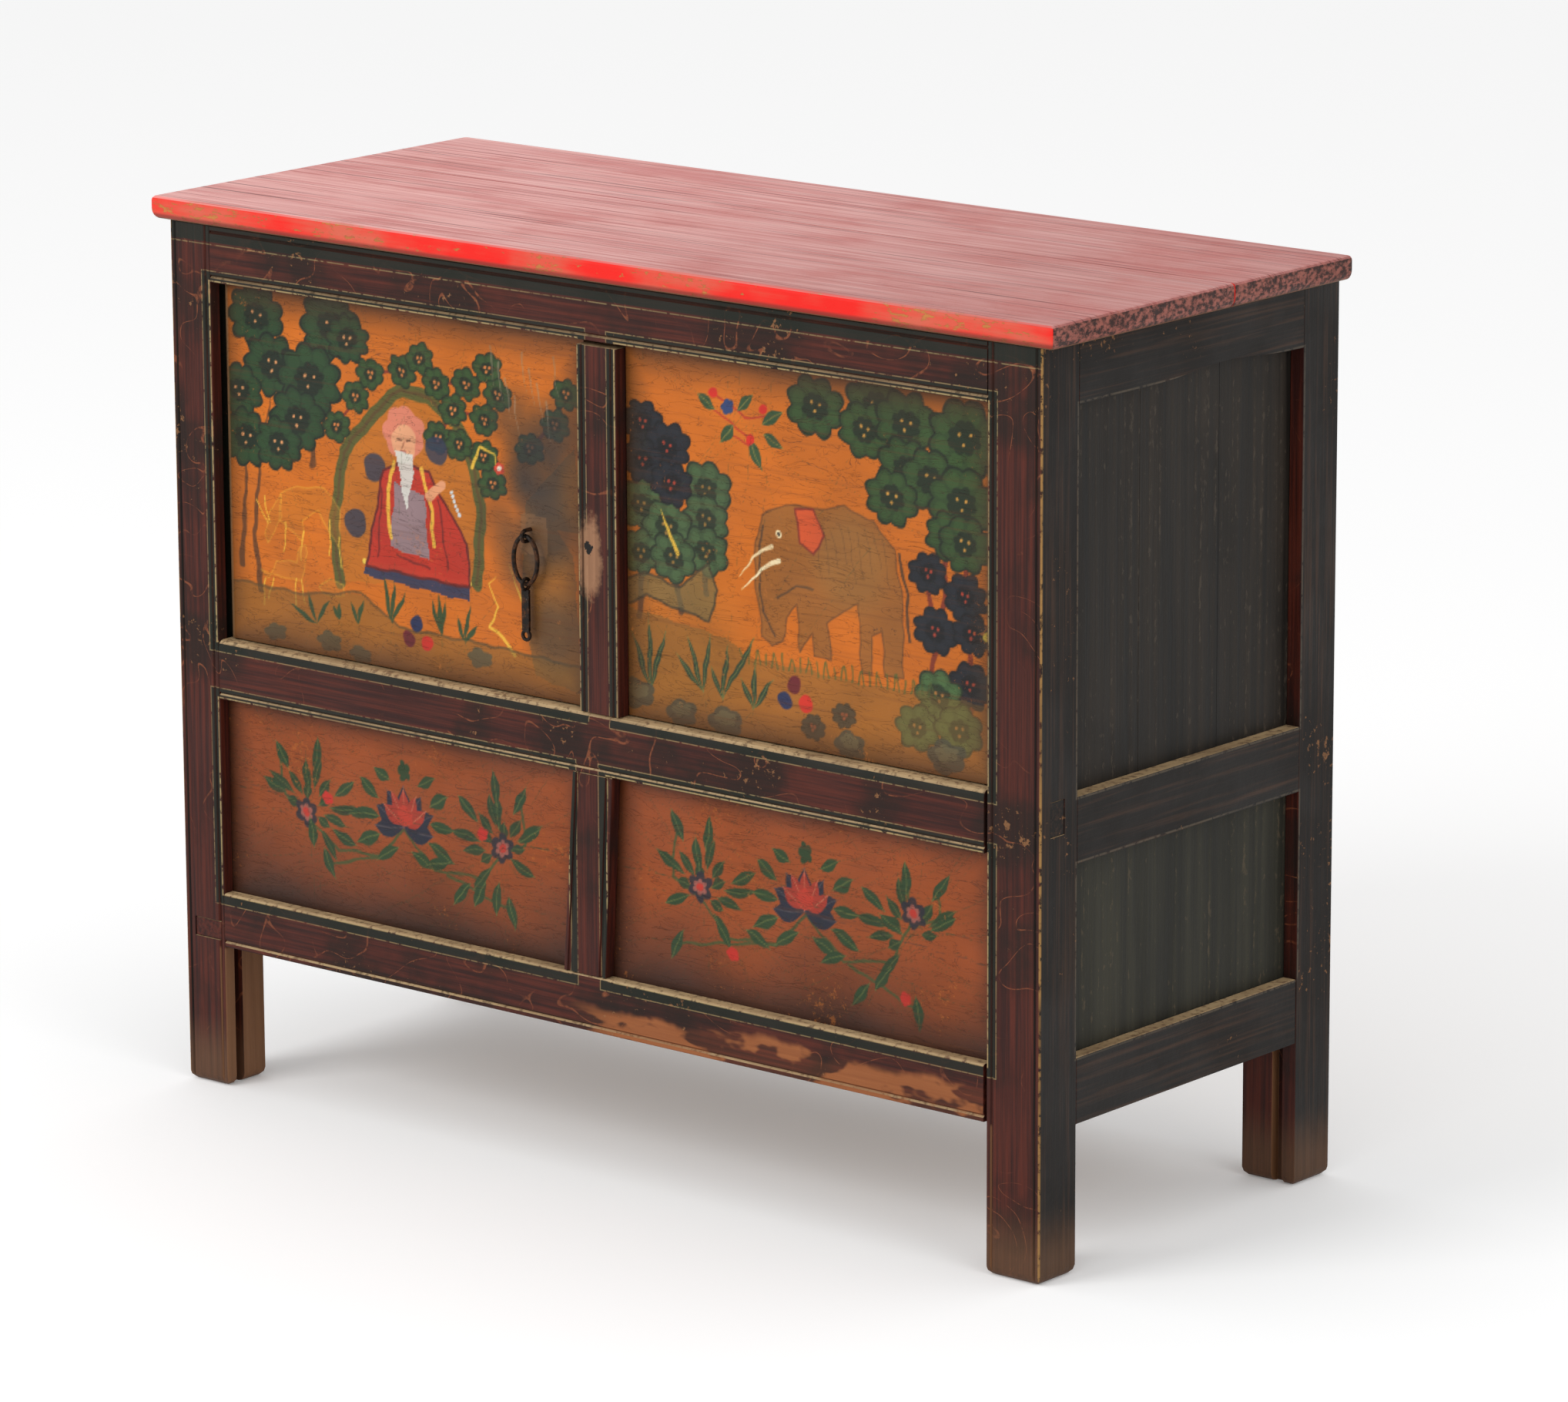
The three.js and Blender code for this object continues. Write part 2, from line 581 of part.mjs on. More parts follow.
// Doors, made about their pivot axis. The hinge edge is half round so that it turns in place.
function makeDoor(reach) {
  const radius = doorThickness / 2;
  const steps = 10;
  const hingeEdge = Array.from({ length: steps + 1 }, (_, step) => {
    const angle = Math.PI / 2 + (step / steps) * Math.PI;
    return [radius * Math.cos(angle) * Math.sign(reach), radius * Math.sin(angle)];
  });
  const outline = [...hingeEdge, [reach, -radius], [reach, radius]];
  const holeRadius = pinRadius + fitGap;
  return standing(outline, doorBottom, doorTop)
    .subtract(uprightBar(0, 0, holeRadius, [doorBottom - cutOver, doorBottom + pinInDoor + fitGap]))
    .subtract(uprightBar(0, 0, holeRadius, [doorTop - pinInDoor - fitGap, doorTop + cutOver]));
}

const bottomPinHeights = [frontMiddleRailTop - pinInRail, doorBottom + pinInDoor];
const topPinHeights = [doorTop - pinInDoor, frontTopRailBottom + pinInRail];

// Ironwork on the left door, made about the axis of the ring's upper wire.
const ringDepth = panelRecess - ringStandOff;
const ringCentreDrop = ringHeight / 2;
const wireSides = 8;
const ringSteps = 28;
const eyeSteps = 20;
const bowSteps = 8;
const stapleSteps = 24;
const bentBarSides = 5;
const stapleHoleSides = 16;
const stapleHoleSlack = 0.2;

// A round bar bent along a path of points.
function bentBar(points, radius, steps) {
  const section = new THREE.Shape();
  section.absarc(0, 0, radius, 0, 2 * Math.PI);
  const path = new THREE.CatmullRomCurve3(points, false, 'centripetal');
  return new THREE.ExtrudeGeometry(section, { steps, extrudePath: path, curveSegments: bentBarSides });
}

function makeStaple() {
  const legEnd = ringStandOff + stapleBite;
  const bow = Array.from({ length: bowSteps + 1 }, (_, step) => {
    const angle = Math.PI / 2 + (step / bowSteps) * Math.PI;
    return new THREE.Vector3(0, stapleBowRadius * Math.cos(angle), stapleBowRadius * Math.sin(angle));
  });
  const upperLeg = [new THREE.Vector3(0, legEnd, stapleBowRadius),
    new THREE.Vector3(0, legEnd / 2, stapleBowRadius)];
  const lowerLeg = [new THREE.Vector3(0, legEnd / 2, -stapleBowRadius),
    new THREE.Vector3(0, legEnd, -stapleBowRadius)];
  return toSolid(bentBar([...upperLeg, ...bow, ...lowerLeg], stapleWireRadius, stapleSteps));
}

function makeStapleHoles() {
  const radius = stapleWireRadius + fitGap + stapleHoleSlack;
  const length = stapleBite + 2 * cutOver;
  const holes = [stapleBowRadius, -stapleBowRadius].map((height) => {
    const geometry = new THREE.CylinderGeometry(radius, radius, length, stapleHoleSides);
    geometry.translate(0, ringStandOff - cutOver + length / 2, height);
    return toSolid(geometry);
  });
  return holes[0].add(holes[1]);
}

// A round ring of wire whose centre line is drawn out downwards, so that the wire stays round.
function makeRing() {
  const ringRadius = ringWidth / 2;
  const geometry = new THREE.TorusGeometry(ringRadius, ringWireRadius, wireSides, ringSteps);
  geometry.rotateX(Math.PI / 2);
  const positions = geometry.attributes.position;
  const stretch = ringHeight / ringWidth;
  const point = new THREE.Vector3();
  for (let index = 0; index < positions.count; index += 1) {
    point.fromBufferAttribute(positions, index);
    const centreZ = (point.z / Math.hypot(point.x, point.z)) * ringRadius;
    positions.setZ(index, centreZ * stretch + (point.z - centreZ));
  }
  geometry.translate(0, 0, -ringCentreDrop);
  return toSolid(geometry);
}

// Strap made about the axis of the ring's lower wire: an eye, a flat bar and a small lower eye.
function makeStrap() {
  const upperEye = new THREE.TorusGeometry(strapEyeRadius, strapEyeWireRadius, wireSides, eyeSteps);
  upperEye.rotateY(Math.PI / 2);
  const barTop = -strapEyeRadius;
  const barBottom = barTop - strapLength;
  const bar = block([-strapWidth / 2, strapWidth / 2], [-strapThickness / 2, strapThickness / 2],
    [barBottom, barTop]);
  const lowerEye = new THREE.TorusGeometry(strapWidth / 2, strapEyeWireRadius, wireSides, eyeSteps);
  lowerEye.rotateX(Math.PI / 2);
  lowerEye.translate(0, 0, barBottom - strapWidth / 2);
  return toSolid(upperEye).add(bar).add(toSolid(lowerEye));
}

// Top boards: the moulded edge is rounded above and runs out below in a convex quarter round.
const edgeRoundingSteps = 3;
const ovoloSteps = 5;

function mouldedEdge() {
  const rounding = roundedCorner(topEdgeRounding, edgeRoundingSteps)
    .map(([inwards, down]) => [inwards, topThickness - down]);
  const ovolo = Array.from({ length: ovoloSteps + 1 }, (_, step) => {
    const angle = (step / ovoloSteps) * (Math.PI / 2);
    return [topOvoloSetback * (1 - Math.sin(angle)), topOvoloHeight * (1 - Math.cos(angle))];
  });
  return [...ovolo, ...rounding];
}

function makeTopBoard(isFront) {
  const bottom = postHeight + fitGap;
  const left = carcassLeft - topSideOverhang;
  const right = carcassRight + topSideOverhang;
  const front = -topFrontOverhang;
  const back = carcassDepth - topBackSetback;
  const seam = front + topFrontBoardWidth;
  const edge = mouldedEdge();
  const leftEdge = edge.map(([inwards, up]) => [left + inwards, bottom + up]);
  const rightEdge = edge.map(([inwards, up]) => [right - inwards, bottom + up]).reverse();
  const frontEdge = edge.map(([inwards, up]) => [front + inwards, bottom + up]);
  const lengthwise = reachingBack([...leftEdge, ...rightEdge], front - cutOver, back + cutOver);
  const depths = isFront ? [front, seam - boardGap / 2] : [seam + boardGap / 2, back];
  const square = [[depths[1], bottom + topThickness], [depths[1], bottom]];
  const plainFront = [[depths[0], bottom], [depths[0], bottom + topThickness]];
  const end = isFront ? [...frontEdge, ...square] : [...plainFront, ...square];
  const board = lyingAcross(end, left - cutOver, right + cutOver).intersect(lengthwise);
  const clip = [[left - cutOver, back - topCornerClip], [left + topCornerClip, back + cutOver],
    [left - cutOver, back + cutOver]];
  return isFront ? board : board.subtract(standing(clip, bottom - cutOver, bottom + topThickness + cutOver));
}

// Assembly. Inside the carcass group y is 0 at the front faces of the posts.
const chest = new THREE.Group();
const carcass = new THREE.Group();
carcass.position.y = -(carcassDepth - topFrontOverhang) / 2;
chest.add(carcass);

function addPiece(parent, name, solid, finish) {
  const mesh = new THREE.Mesh(toGeometry(solid), new THREE.MeshStandardMaterial(finish));
  mesh.name = name;
  parent.add(mesh);
  return mesh;
}

function addFrame() {
  addPiece(carcass, 'front_left_post', makePost(true, true), paintedFrame);
  addPiece(carcass, 'front_right_post', makePost(false, true), paintedFrame);
  addPiece(carcass, 'rear_left_post', makePost(true, false), darkSide);
  addPiece(carcass, 'rear_right_post', makePost(false, false), darkSide);
  addPiece(carcass, 'front_top_rail', makeFrontTopRail(), paintedFrame);
  addPiece(carcass, 'front_middle_rail', makeFrontMiddleRail(), paintedFrame);
  addPiece(carcass, 'front_bottom_rail', makeFrontBottomRail(), paintedFrame);
  for (const isLeft of [true, false]) {
    const side = isLeft ? 'left' : 'right';
    const [topTenons, middleTenons, bottomTenons] = isLeft ? tenonsOnLeft : tenonsOnRight;
    const arch = isLeft ? 0 : rightTopRailArchRise;
    const topHeights = [sideTopRailBottom, postHeight];
    const middleHeights = [sideMiddleRailBottom, sideMiddleRailTop];
    const bottomHeights = [sideBottomRailBottom, sideBottomRailTop];
    const topRail = makeSideRail(isLeft, topHeights, topTenons, true, false, arch);
    const middleRail = makeSideRail(isLeft, middleHeights, middleTenons, true, true);
    const bottomRail = makeSideRail(isLeft, bottomHeights, bottomTenons, false, true);
    addPiece(carcass, `${side}_top_rail`, topRail, darkSide);
    addPiece(carcass, `${side}_middle_rail`, middleRail, darkSide);
    addPiece(carcass, `${side}_bottom_rail`, bottomRail, darkSide);
  }
  const backTopHeights = [frontTopRailBottom, postHeight];
  const backMiddleHeights = [frontMiddleRailBottom, frontMiddleRailTop];
  const backBottomHeights = [frontBottomRailBottom, frontBottomRailTop];
  const backBottomRail = makeBackRail(backBottomHeights, backBottomTenons, false, true);
  addPiece(carcass, 'back_top_rail', makeBackRail(backTopHeights, backTopTenons, true, false), bareWood);
  addPiece(carcass, 'back_middle_rail', makeBackRail(backMiddleHeights, backMiddleTenons, true, true), bareWood);
  addPiece(carcass, 'back_bottom_rail', backBottomRail.subtract(floorGroove), bareWood);
  addPiece(carcass, 'centre_stile', makeCentreStile(), paintedFrame);
  addPiece(carcass, 'lower_stile', makeLowerStile(), paintedFrame);
}

function addPanels() {
  addPiece(carcass, 'lower_left_panel', makeLowFrontPanel(true), paintedLowPanel);
  addPiece(carcass, 'lower_right_panel', makeLowFrontPanel(false), paintedLowPanel);
  const sideRun = [frontPostDepth - tongueLength, rearPostFront + tongueLength];
  const sideUpperHeights = [sideMiddleRailTop - tongueLength, sideTopRailBottom + tongueLength];
  const sideLowerHeights = [sideBottomRailTop - tongueLength, sideMiddleRailBottom + tongueLength];
  for (const isLeft of [true, false]) {
    const side = isLeft ? 'left' : 'right';
    const across = widened(isLeft ? leftGrooveAcross : rightGrooveAcross, -fitGap);
    boardLimits(sideRun, sideBoardCount).forEach((run, index) => {
      addPiece(carcass, `${side}_side_board_${index + 1}`, block(across, run, sideUpperHeights), darkSide);
    });
    addPiece(carcass, `${side}_lower_panel`, block(across, sideRun, sideLowerHeights), darkSide);
  }
  const backAcross = [leftPostInner - tongueLength, rightPostInner + tongueLength];
  const backDepths = widened(backGrooveDepths, -fitGap);
  const backUpperHeights = [frontMiddleRailTop - tongueLength, frontTopRailBottom + tongueLength];
  const backLowerHeights = [frontBottomRailTop - tongueLength, frontMiddleRailBottom + tongueLength];
  boardLimits(backUpperHeights, backBoardCount).forEach((heights, index) => {
    addPiece(carcass, `back_upper_board_${index + 1}`, block(backAcross, backDepths, heights), bareWood);
  });
  addPiece(carcass, 'back_lower_panel', block(backAcross, backDepths, backLowerHeights), bareWood);
  boardLimits(floorLimitsAcross, floorBoardCount).forEach((across, index) => {
    addPiece(carcass, `floor_board_${index + 1}`, block(across, floorLimitsDepth, floorHeights), bareWood);
  });
}

function addTop() {
  addPiece(carcass, 'top_board_front', makeTopBoard(true), paintedTop);
  addPiece(carcass, 'top_board_back', makeTopBoard(false), paintedTop);
}

function addPins(door, side) {
  const pins = { top: topPinHeights, bottom: bottomPinHeights };
  for (const [end, heights] of Object.entries(pins)) {
    addPiece(door, `${side}_door_${end}_pin`, uprightBar(0, 0, pinRadius, heights), bareWood);
  }
}

function addDoors() {
  const leftDoor = new THREE.Group();
  leftDoor.position.set(leftDoorAxis, doorAxisDepth, 0);
  const leftReach = centreStileLeft - doorClearance - leftDoorAxis;
  const holes = makeStapleHoles().translate(stapleX - leftDoorAxis, ringDepth - doorAxisDepth, stapleZ);
  addPiece(leftDoor, 'left_door', makeDoor(leftReach).subtract(holes), paintedDoor);
  addPins(leftDoor, 'left');
  carcass.add(leftDoor);

  const rightDoor = new THREE.Group();
  rightDoor.position.set(rightDoorAxis, doorAxisDepth, 0);
  const rightReach = centreStileRight + doorClearance - rightDoorAxis;
  addPiece(rightDoor, 'right_door', makeDoor(rightReach), paintedDoor);
  addPins(rightDoor, 'right');
  carcass.add(rightDoor);

  const ironwork = new THREE.Group();
  ironwork.position.set(stapleX - leftDoorAxis, ringDepth - doorAxisDepth, stapleZ);
  addPiece(ironwork, 'ring_staple', makeStaple(), darkIron);
  addPiece(ironwork, 'pull_ring', makeRing(), darkIron);
  const strap = addPiece(ironwork, 'hasp_strap', makeStrap(), darkIron);
  strap.position.z = -ringHeight;
  leftDoor.add(ironwork);
}

addFrame();
addPanels();
addTop();
addDoors();

export default chest;
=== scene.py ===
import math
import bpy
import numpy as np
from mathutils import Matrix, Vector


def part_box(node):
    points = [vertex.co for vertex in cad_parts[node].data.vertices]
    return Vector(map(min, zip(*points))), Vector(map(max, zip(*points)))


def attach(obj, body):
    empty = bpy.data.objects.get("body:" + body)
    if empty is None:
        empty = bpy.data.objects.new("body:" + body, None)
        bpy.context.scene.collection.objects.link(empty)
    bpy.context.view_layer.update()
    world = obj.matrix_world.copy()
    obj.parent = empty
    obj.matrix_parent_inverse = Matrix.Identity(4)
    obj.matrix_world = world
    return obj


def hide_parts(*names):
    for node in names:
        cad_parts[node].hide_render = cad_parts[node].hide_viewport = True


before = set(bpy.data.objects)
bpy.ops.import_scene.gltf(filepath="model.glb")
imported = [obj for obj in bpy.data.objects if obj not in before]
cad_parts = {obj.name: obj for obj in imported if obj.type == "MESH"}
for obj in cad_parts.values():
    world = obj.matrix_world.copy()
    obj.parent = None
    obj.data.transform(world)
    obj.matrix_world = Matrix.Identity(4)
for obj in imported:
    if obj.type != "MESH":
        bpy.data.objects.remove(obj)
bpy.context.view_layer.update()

# %% [markdown]
# A painted chest of pine or a like soft wood, about a metre wide. A frame of posts and rails is pinned
# together with through tenons, two pivot doors and thin painted boards fill its openings, and a lid-like
# top of two boards lies over it. The joined frame comes from the CAD model, in metres, and this script
# adds what the eye sees: worn edges, paint, brushwork, bare wood and rusty iron.

MM = 0.001

def add_object(name, data):
    """A new object with that data, in the scene."""
    made = bpy.data.objects.new(name, data)
    bpy.context.scene.collection.objects.link(made)
    return made

FRONT_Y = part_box("front_left_post")[0][1]

# %% [markdown]
# The camera stands to the right of the front and a little above the top, as in the photograph. Its place
# and angles were solved from the chest's own corners, so nothing has to be shifted.

# %% camera
TURN, RISE, ROLL = 0.6951040, 0.2363304, -0.0045272
PLACE = (4.06430, -4.81551, 1.90256)
LENS, SENSOR_WIDTH = 170.94, 36.0
FARTHEST = 60.0
look = np.array([-math.sin(TURN) * math.cos(RISE), math.cos(TURN) * math.cos(RISE), -math.sin(RISE)])
right = np.cross(look, [0.0, 0.0, 1.0])
right /= np.linalg.norm(right)
above = np.cross(right, look)
across = math.cos(ROLL) * right + math.sin(ROLL) * above
upward = -math.sin(ROLL) * right + math.cos(ROLL) * above
camera_data = bpy.data.cameras.new("camera")
camera_data.lens = LENS
camera_data.sensor_width = SENSOR_WIDTH
camera_data.clip_end = FARTHEST
camera = add_object("camera", camera_data)
turned = np.eye(4)
turned[:3, 0], turned[:3, 1], turned[:3, 2], turned[:3, 3] = across, upward, -look, PLACE
camera.matrix_world = Matrix(turned.tolist())
bpy.context.scene.camera = camera
print("camera at", PLACE)

# %% [markdown]
# Arithmetic on sockets reads better than a list of links. Shade wraps one socket, and its operators add
# the matching Math node. Paint is one material, whose method node() adds any other node.

# %% sockets as numbers
class Shade:
    """One output socket of a material. + - * / and the rest add the Math node of that name."""

    def __init__(self, paint, socket):
        self.paint, self.socket = paint, socket

    def math(self, operation, *others):
        return self.paint.node("ShaderNodeMath", {"operation": operation}, dict(enumerate((self,) + others)))

    def __add__(self, other):
        return self.math("ADD", other)

    def __mul__(self, other):
        return self.math("MULTIPLY", other)

    def __sub__(self, other):
        return self.math("SUBTRACT", other)

    def __rsub__(self, other):
        return self.math("MULTIPLY", -1.0) + other

    def __pow__(self, other):
        return self.math("POWER", other)

    def __abs__(self):
        return self.math("ABSOLUTE")

    def least(self, other):
        return self.math("MINIMUM", other)

    def most(self, other):
        return self.math("MAXIMUM", other)

    __radd__ = __add__
    __rmul__ = __mul__

    def ramp(self, low, high, out_low=0.0, out_high=1.0):
        """Rises smoothly from out_low at low to out_high at high. low may be the larger."""
        inputs = {0: self, 1: low, 2: high, 3: out_low, 4: out_high}
        return self.paint.node("ShaderNodeMapRange", {"interpolation_type": "SMOOTHSTEP"}, inputs)

    def band(self, low, high, soft):
        """1 between low and high, 0 outside, with soft edges."""
        return self.ramp(low - soft, low + soft) * self.ramp(high + soft, high - soft)


class Paint:
    """A node material and the nodes that it is made of."""

    def __init__(self, name):
        self.material = bpy.data.materials.new(name)
        self.material.use_nodes = True
        self.tree = self.material.node_tree
        self.tree.nodes.clear()
        self.place = self.node("ShaderNodeTexCoord", out="Object")
        self.x, self.y, self.z = self.axes(self.place)
        self.nx, self.ny, self.nz = self.axes(self.node("ShaderNodeNewGeometry", out="Normal"))

    def axes(self, vector):
        """The x, y and z of a vector."""
        parts = self.tree.nodes.new("ShaderNodeSeparateXYZ")
        self.tree.links.new(vector.socket, parts.inputs[0])
        return [Shade(self, part) for part in parts.outputs]

    def node(self, kind, settings=None, inputs=None, out=0):
        """Adds a node, sets its settings, then its sockets from numbers, colours or other sockets."""
        made = self.tree.nodes.new(kind)
        for key, value in (settings or {}).items():
            setattr(made, key, value)
        for key, value in (inputs or {}).items():
            if isinstance(value, Shade):
                self.tree.links.new(value.socket, made.inputs[key])
            else:
                made.inputs[key].default_value = value
        return Shade(self, made.outputs[out]) if len(made.outputs) else None

    def stretched(self, sizes):
        """Object coordinates divided by sizes in metres: one for each axis, or one number for all."""
        scale = (1.0 / np.broadcast_to(sizes, 3)).tolist()
        return self.node("ShaderNodeMapping", inputs={"Vector": self.place, "Scale": scale})

    def noise(self, sizes, detail=3.0, rough=0.55, warp=0.0):
        inputs = {"Vector": self.stretched(sizes), "Scale": 1.0, "Detail": detail, "Roughness": rough,
                  "Distortion": warp}
        return self.node("ShaderNodeTexNoise", inputs=inputs)

    def mix(self, first, second, share):
        """first where share is 0, second where it is 1, both colours."""
        inputs = {0: share, 6: first, 7: second}
        return self.node("ShaderNodeMix", {"data_type": "RGBA"}, inputs, out=2)

    def finish(self, colour, rough, height, depth=0.0006, metal=0.0, coat=0.0):
        """Closes the material: colour, roughness and a height in 0..1 that stands for depth metres."""
        bump = self.node("ShaderNodeBump", inputs={"Height": height, "Distance": depth, "Strength": 1.0})
        inputs = {"Base Color": colour, "Roughness": rough, "Metallic": metal, "Normal": bump,
                  "Coat Weight": coat, "Coat Roughness": 0.35, "Specular IOR Level": 0.22}
        shader = self.node("ShaderNodeBsdfPrincipled", inputs=inputs)
        self.node("ShaderNodeOutputMaterial", inputs={"Surface": shader})
        return self.material


def screen_to_linear(colour):
    """Screen values from 0 to 255 as the linear light that a shader wants, by the sRGB curve."""
    screen = np.clip(colour, 0, 255) / 255.0
    return np.where(screen <= 0.04045, screen / 12.92, ((screen + 0.055) / 1.055) ** 2.4)

def rgb(red, green, blue):
    """A colour for a shader's socket from its 0 to 255 screen values."""
    return (*screen_to_linear(np.array([red, green, blue])).tolist(), 1.0)

print("red of the lid in linear light", [round(v, 3) for v in rgb(200, 60, 40)])

# %% [markdown]
# A wide pale floor and a white sky stand for the studio. Two big soft lights give the front a little more
# light than the side and leave one weak shadow on the floor.

# %% studio
def open_view_in(tree):
    """1 where a camera, glossy or transmission ray looks, 0 elsewhere: the sum of the three, held at 1."""
    path = tree.nodes.new("ShaderNodeLightPath")
    total = path.outputs["Is Camera Ray"]
    for kind in ("Is Glossy Ray", "Is Transmission Ray"):
        added = tree.nodes.new("ShaderNodeMath")
        added.use_clamp = True
        tree.links.new(total, added.inputs[0])
        tree.links.new(path.outputs[kind], added.inputs[1])
        total = added.outputs[0]
    return total

CHEST_MIDDLE = np.array([0.0, 0.0, 0.4])
LAMP_SIZE = 2.4
KEY_WATTS, SIDE_WATTS = 95.0, 26.0
FLOOR_REACH = 14.0
FLOOR_GLOW = 0.13

def soft_light(name, place, size, watts):
    """A square lamp that looks at the chest's middle."""
    lamp = bpy.data.lights.new(name, "AREA")
    lamp.energy, lamp.size = watts, size
    holder = add_object(name, lamp)
    aim = CHEST_MIDDLE - np.array(place)
    tip = math.acos(-aim[2] / np.linalg.norm(aim))
    swing = math.atan2(aim[1], aim[0]) - math.pi / 2
    holder.location = place
    holder.rotation_euler = (tip, 0.0, swing)

soft_light("key", (-1.6, -4.2, 3.2), LAMP_SIZE, KEY_WATTS)
soft_light("side", (4.4, -1.0, 2.6), LAMP_SIZE, SIDE_WATTS)
floor_mesh = bpy.data.meshes.new("floor")
floor_corners = [(FLOOR_REACH * x, FLOOR_REACH * y, 0) for x, y in ((-1, -1), (1, -1), (1, 1), (-1, 1))]
floor_mesh.from_pydata(floor_corners, [], [(0, 1, 2, 3)])
add_object("floor", floor_mesh)
pale = Paint("pale_floor")
open_view = Shade(pale, open_view_in(pale.tree))
matt = pale.node("ShaderNodeBsdfDiffuse", inputs={"Color": rgb(250, 250, 250)})
white_glow = {"Color": rgb(255, 255, 255), "Strength": open_view * FLOOR_GLOW}
glow = pale.node("ShaderNodeEmission", inputs=white_glow)
both = pale.node("ShaderNodeAddShader", inputs={0: matt, 1: glow})
pale.node("ShaderNodeOutputMaterial", inputs={"Surface": both})
floor_mesh.materials.append(pale.material)
print("lamps", KEY_WATTS, SIDE_WATTS, "floor", 2 * FLOOR_REACH, "m wide")

# %% [markdown]
# The sky lights the chest evenly from all round. Where a camera, glossy or transmission ray meets it, its
# strength is 1, which is plain white.

# %% sky
world = bpy.data.worlds.new("sky")
bpy.context.scene.world = world
world.use_nodes = True
sky = world.node_tree
sky.nodes.clear()
seen = sky.nodes.new("ShaderNodeMix")
SKY_LIGHT = 1.0
seen.inputs[2].default_value, seen.inputs[3].default_value = SKY_LIGHT, 1.0
sky.links.new(open_view_in(sky), seen.inputs[0])
back = sky.nodes.new("ShaderNodeBackground")
sky.links.new(seen.outputs[0], back.inputs["Strength"])
end = sky.nodes.new("ShaderNodeOutputWorld")
sky.links.new(back.outputs[0], end.inputs[0])
bpy.context.scene.view_settings.view_transform = "Standard"
print("sky strength", SKY_LIGHT)

# %% [markdown]
# Round each opening of the real frame runs a scratch moulding: a pale line, a dark groove and a second
# pale line, all within a centimetre. In the shader it is a band of the distance to the opening.

# %% openings of the frame
LEFT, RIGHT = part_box("front_left_post")[1][0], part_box("front_right_post")[0][0]
DOOR_LOW, DOOR_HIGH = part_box("front_middle_rail")[1][2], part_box("front_top_rail")[0][2]
LOW_LOW, LOW_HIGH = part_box("front_bottom_rail")[1][2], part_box("front_middle_rail")[0][2]
STILE_LEFT, STILE_RIGHT = -0.0113, 0.0325
LOW_STILE_LEFT, LOW_STILE_RIGHT = -0.0265, 0.019
FRONT_OPENINGS = [
    (LEFT, STILE_LEFT, DOOR_LOW, DOOR_HIGH),
    (STILE_RIGHT, RIGHT, DOOR_LOW, DOOR_HIGH),
    (LEFT, LOW_STILE_LEFT, LOW_LOW, LOW_HIGH),
    (LOW_STILE_RIGHT, RIGHT, LOW_LOW, LOW_HIGH),
]
SIDE_NEAR, SIDE_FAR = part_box("front_right_post")[1][1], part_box("rear_right_post")[0][1]
SIDE_TOP_LOW = 0.7321
SIDE_MIDDLE_LOW, SIDE_MIDDLE_HIGH = 0.3499, 0.4063
SIDE_BOTTOM_HIGH = 0.1851
SIDE_OPENINGS = [
    (SIDE_NEAR, SIDE_FAR, SIDE_MIDDLE_HIGH, SIDE_TOP_LOW),
    (SIDE_NEAR, SIDE_FAR, SIDE_BOTTOM_HIGH, SIDE_MIDDLE_LOW),
]

def distance_to(across_axis, upward_axis, openings):
    """Metres from the nearest opening's edge, positive outside it: the larger of the ways out to each side.

    Each opening is (left, right, low, high).
    """
    nearest = None
    for left, right_edge, low, high in openings:
        sideways = abs(across_axis - (left + right_edge) / 2) - (right_edge - left) / 2
        upright = abs(upward_axis - (low + high) / 2) - (high - low) / 2
        away = sideways.most(upright)
        nearest = away if nearest is None else nearest.least(away)
    return nearest

print("front openings", np.round(FRONT_OPENINGS, 4).tolist())
print("side openings", np.round(SIDE_OPENINGS, 4).tolist())

# %% [markdown]
# The frame's paint is a thin dark red-brown with a faint scroll of orange-brown brushed over it. Handling
# wore it through to pale wood on the sills and edges, and the feet are worn bare and rounded.

# %% painted frame
PALE_LINE, GROOVE_LINE, OUTER_LINE = (0.0008, 0.0020), (0.0022, 0.0096), (0.0098, 0.0106)
SIDE_LINE = (0.0006, 0.0022)
RAIL_STRIP_LOW, RAIL_LINE = 0.7690, (0.7672, 0.7682)
HALF_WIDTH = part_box("front_right_post")[1][0]
SILL_TOP = 0.72
FOOT_BARE, FOOT_PAINTED = 0.03, 0.085
RAIL_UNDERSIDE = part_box("front_bottom_rail")[0][2]
HOLE_X, HOLE_Z, HOLE_RADIUS = 0.0006, 0.5554, 0.0047
HANDLED_X, HANDLED_Z = 0.002, 0.548

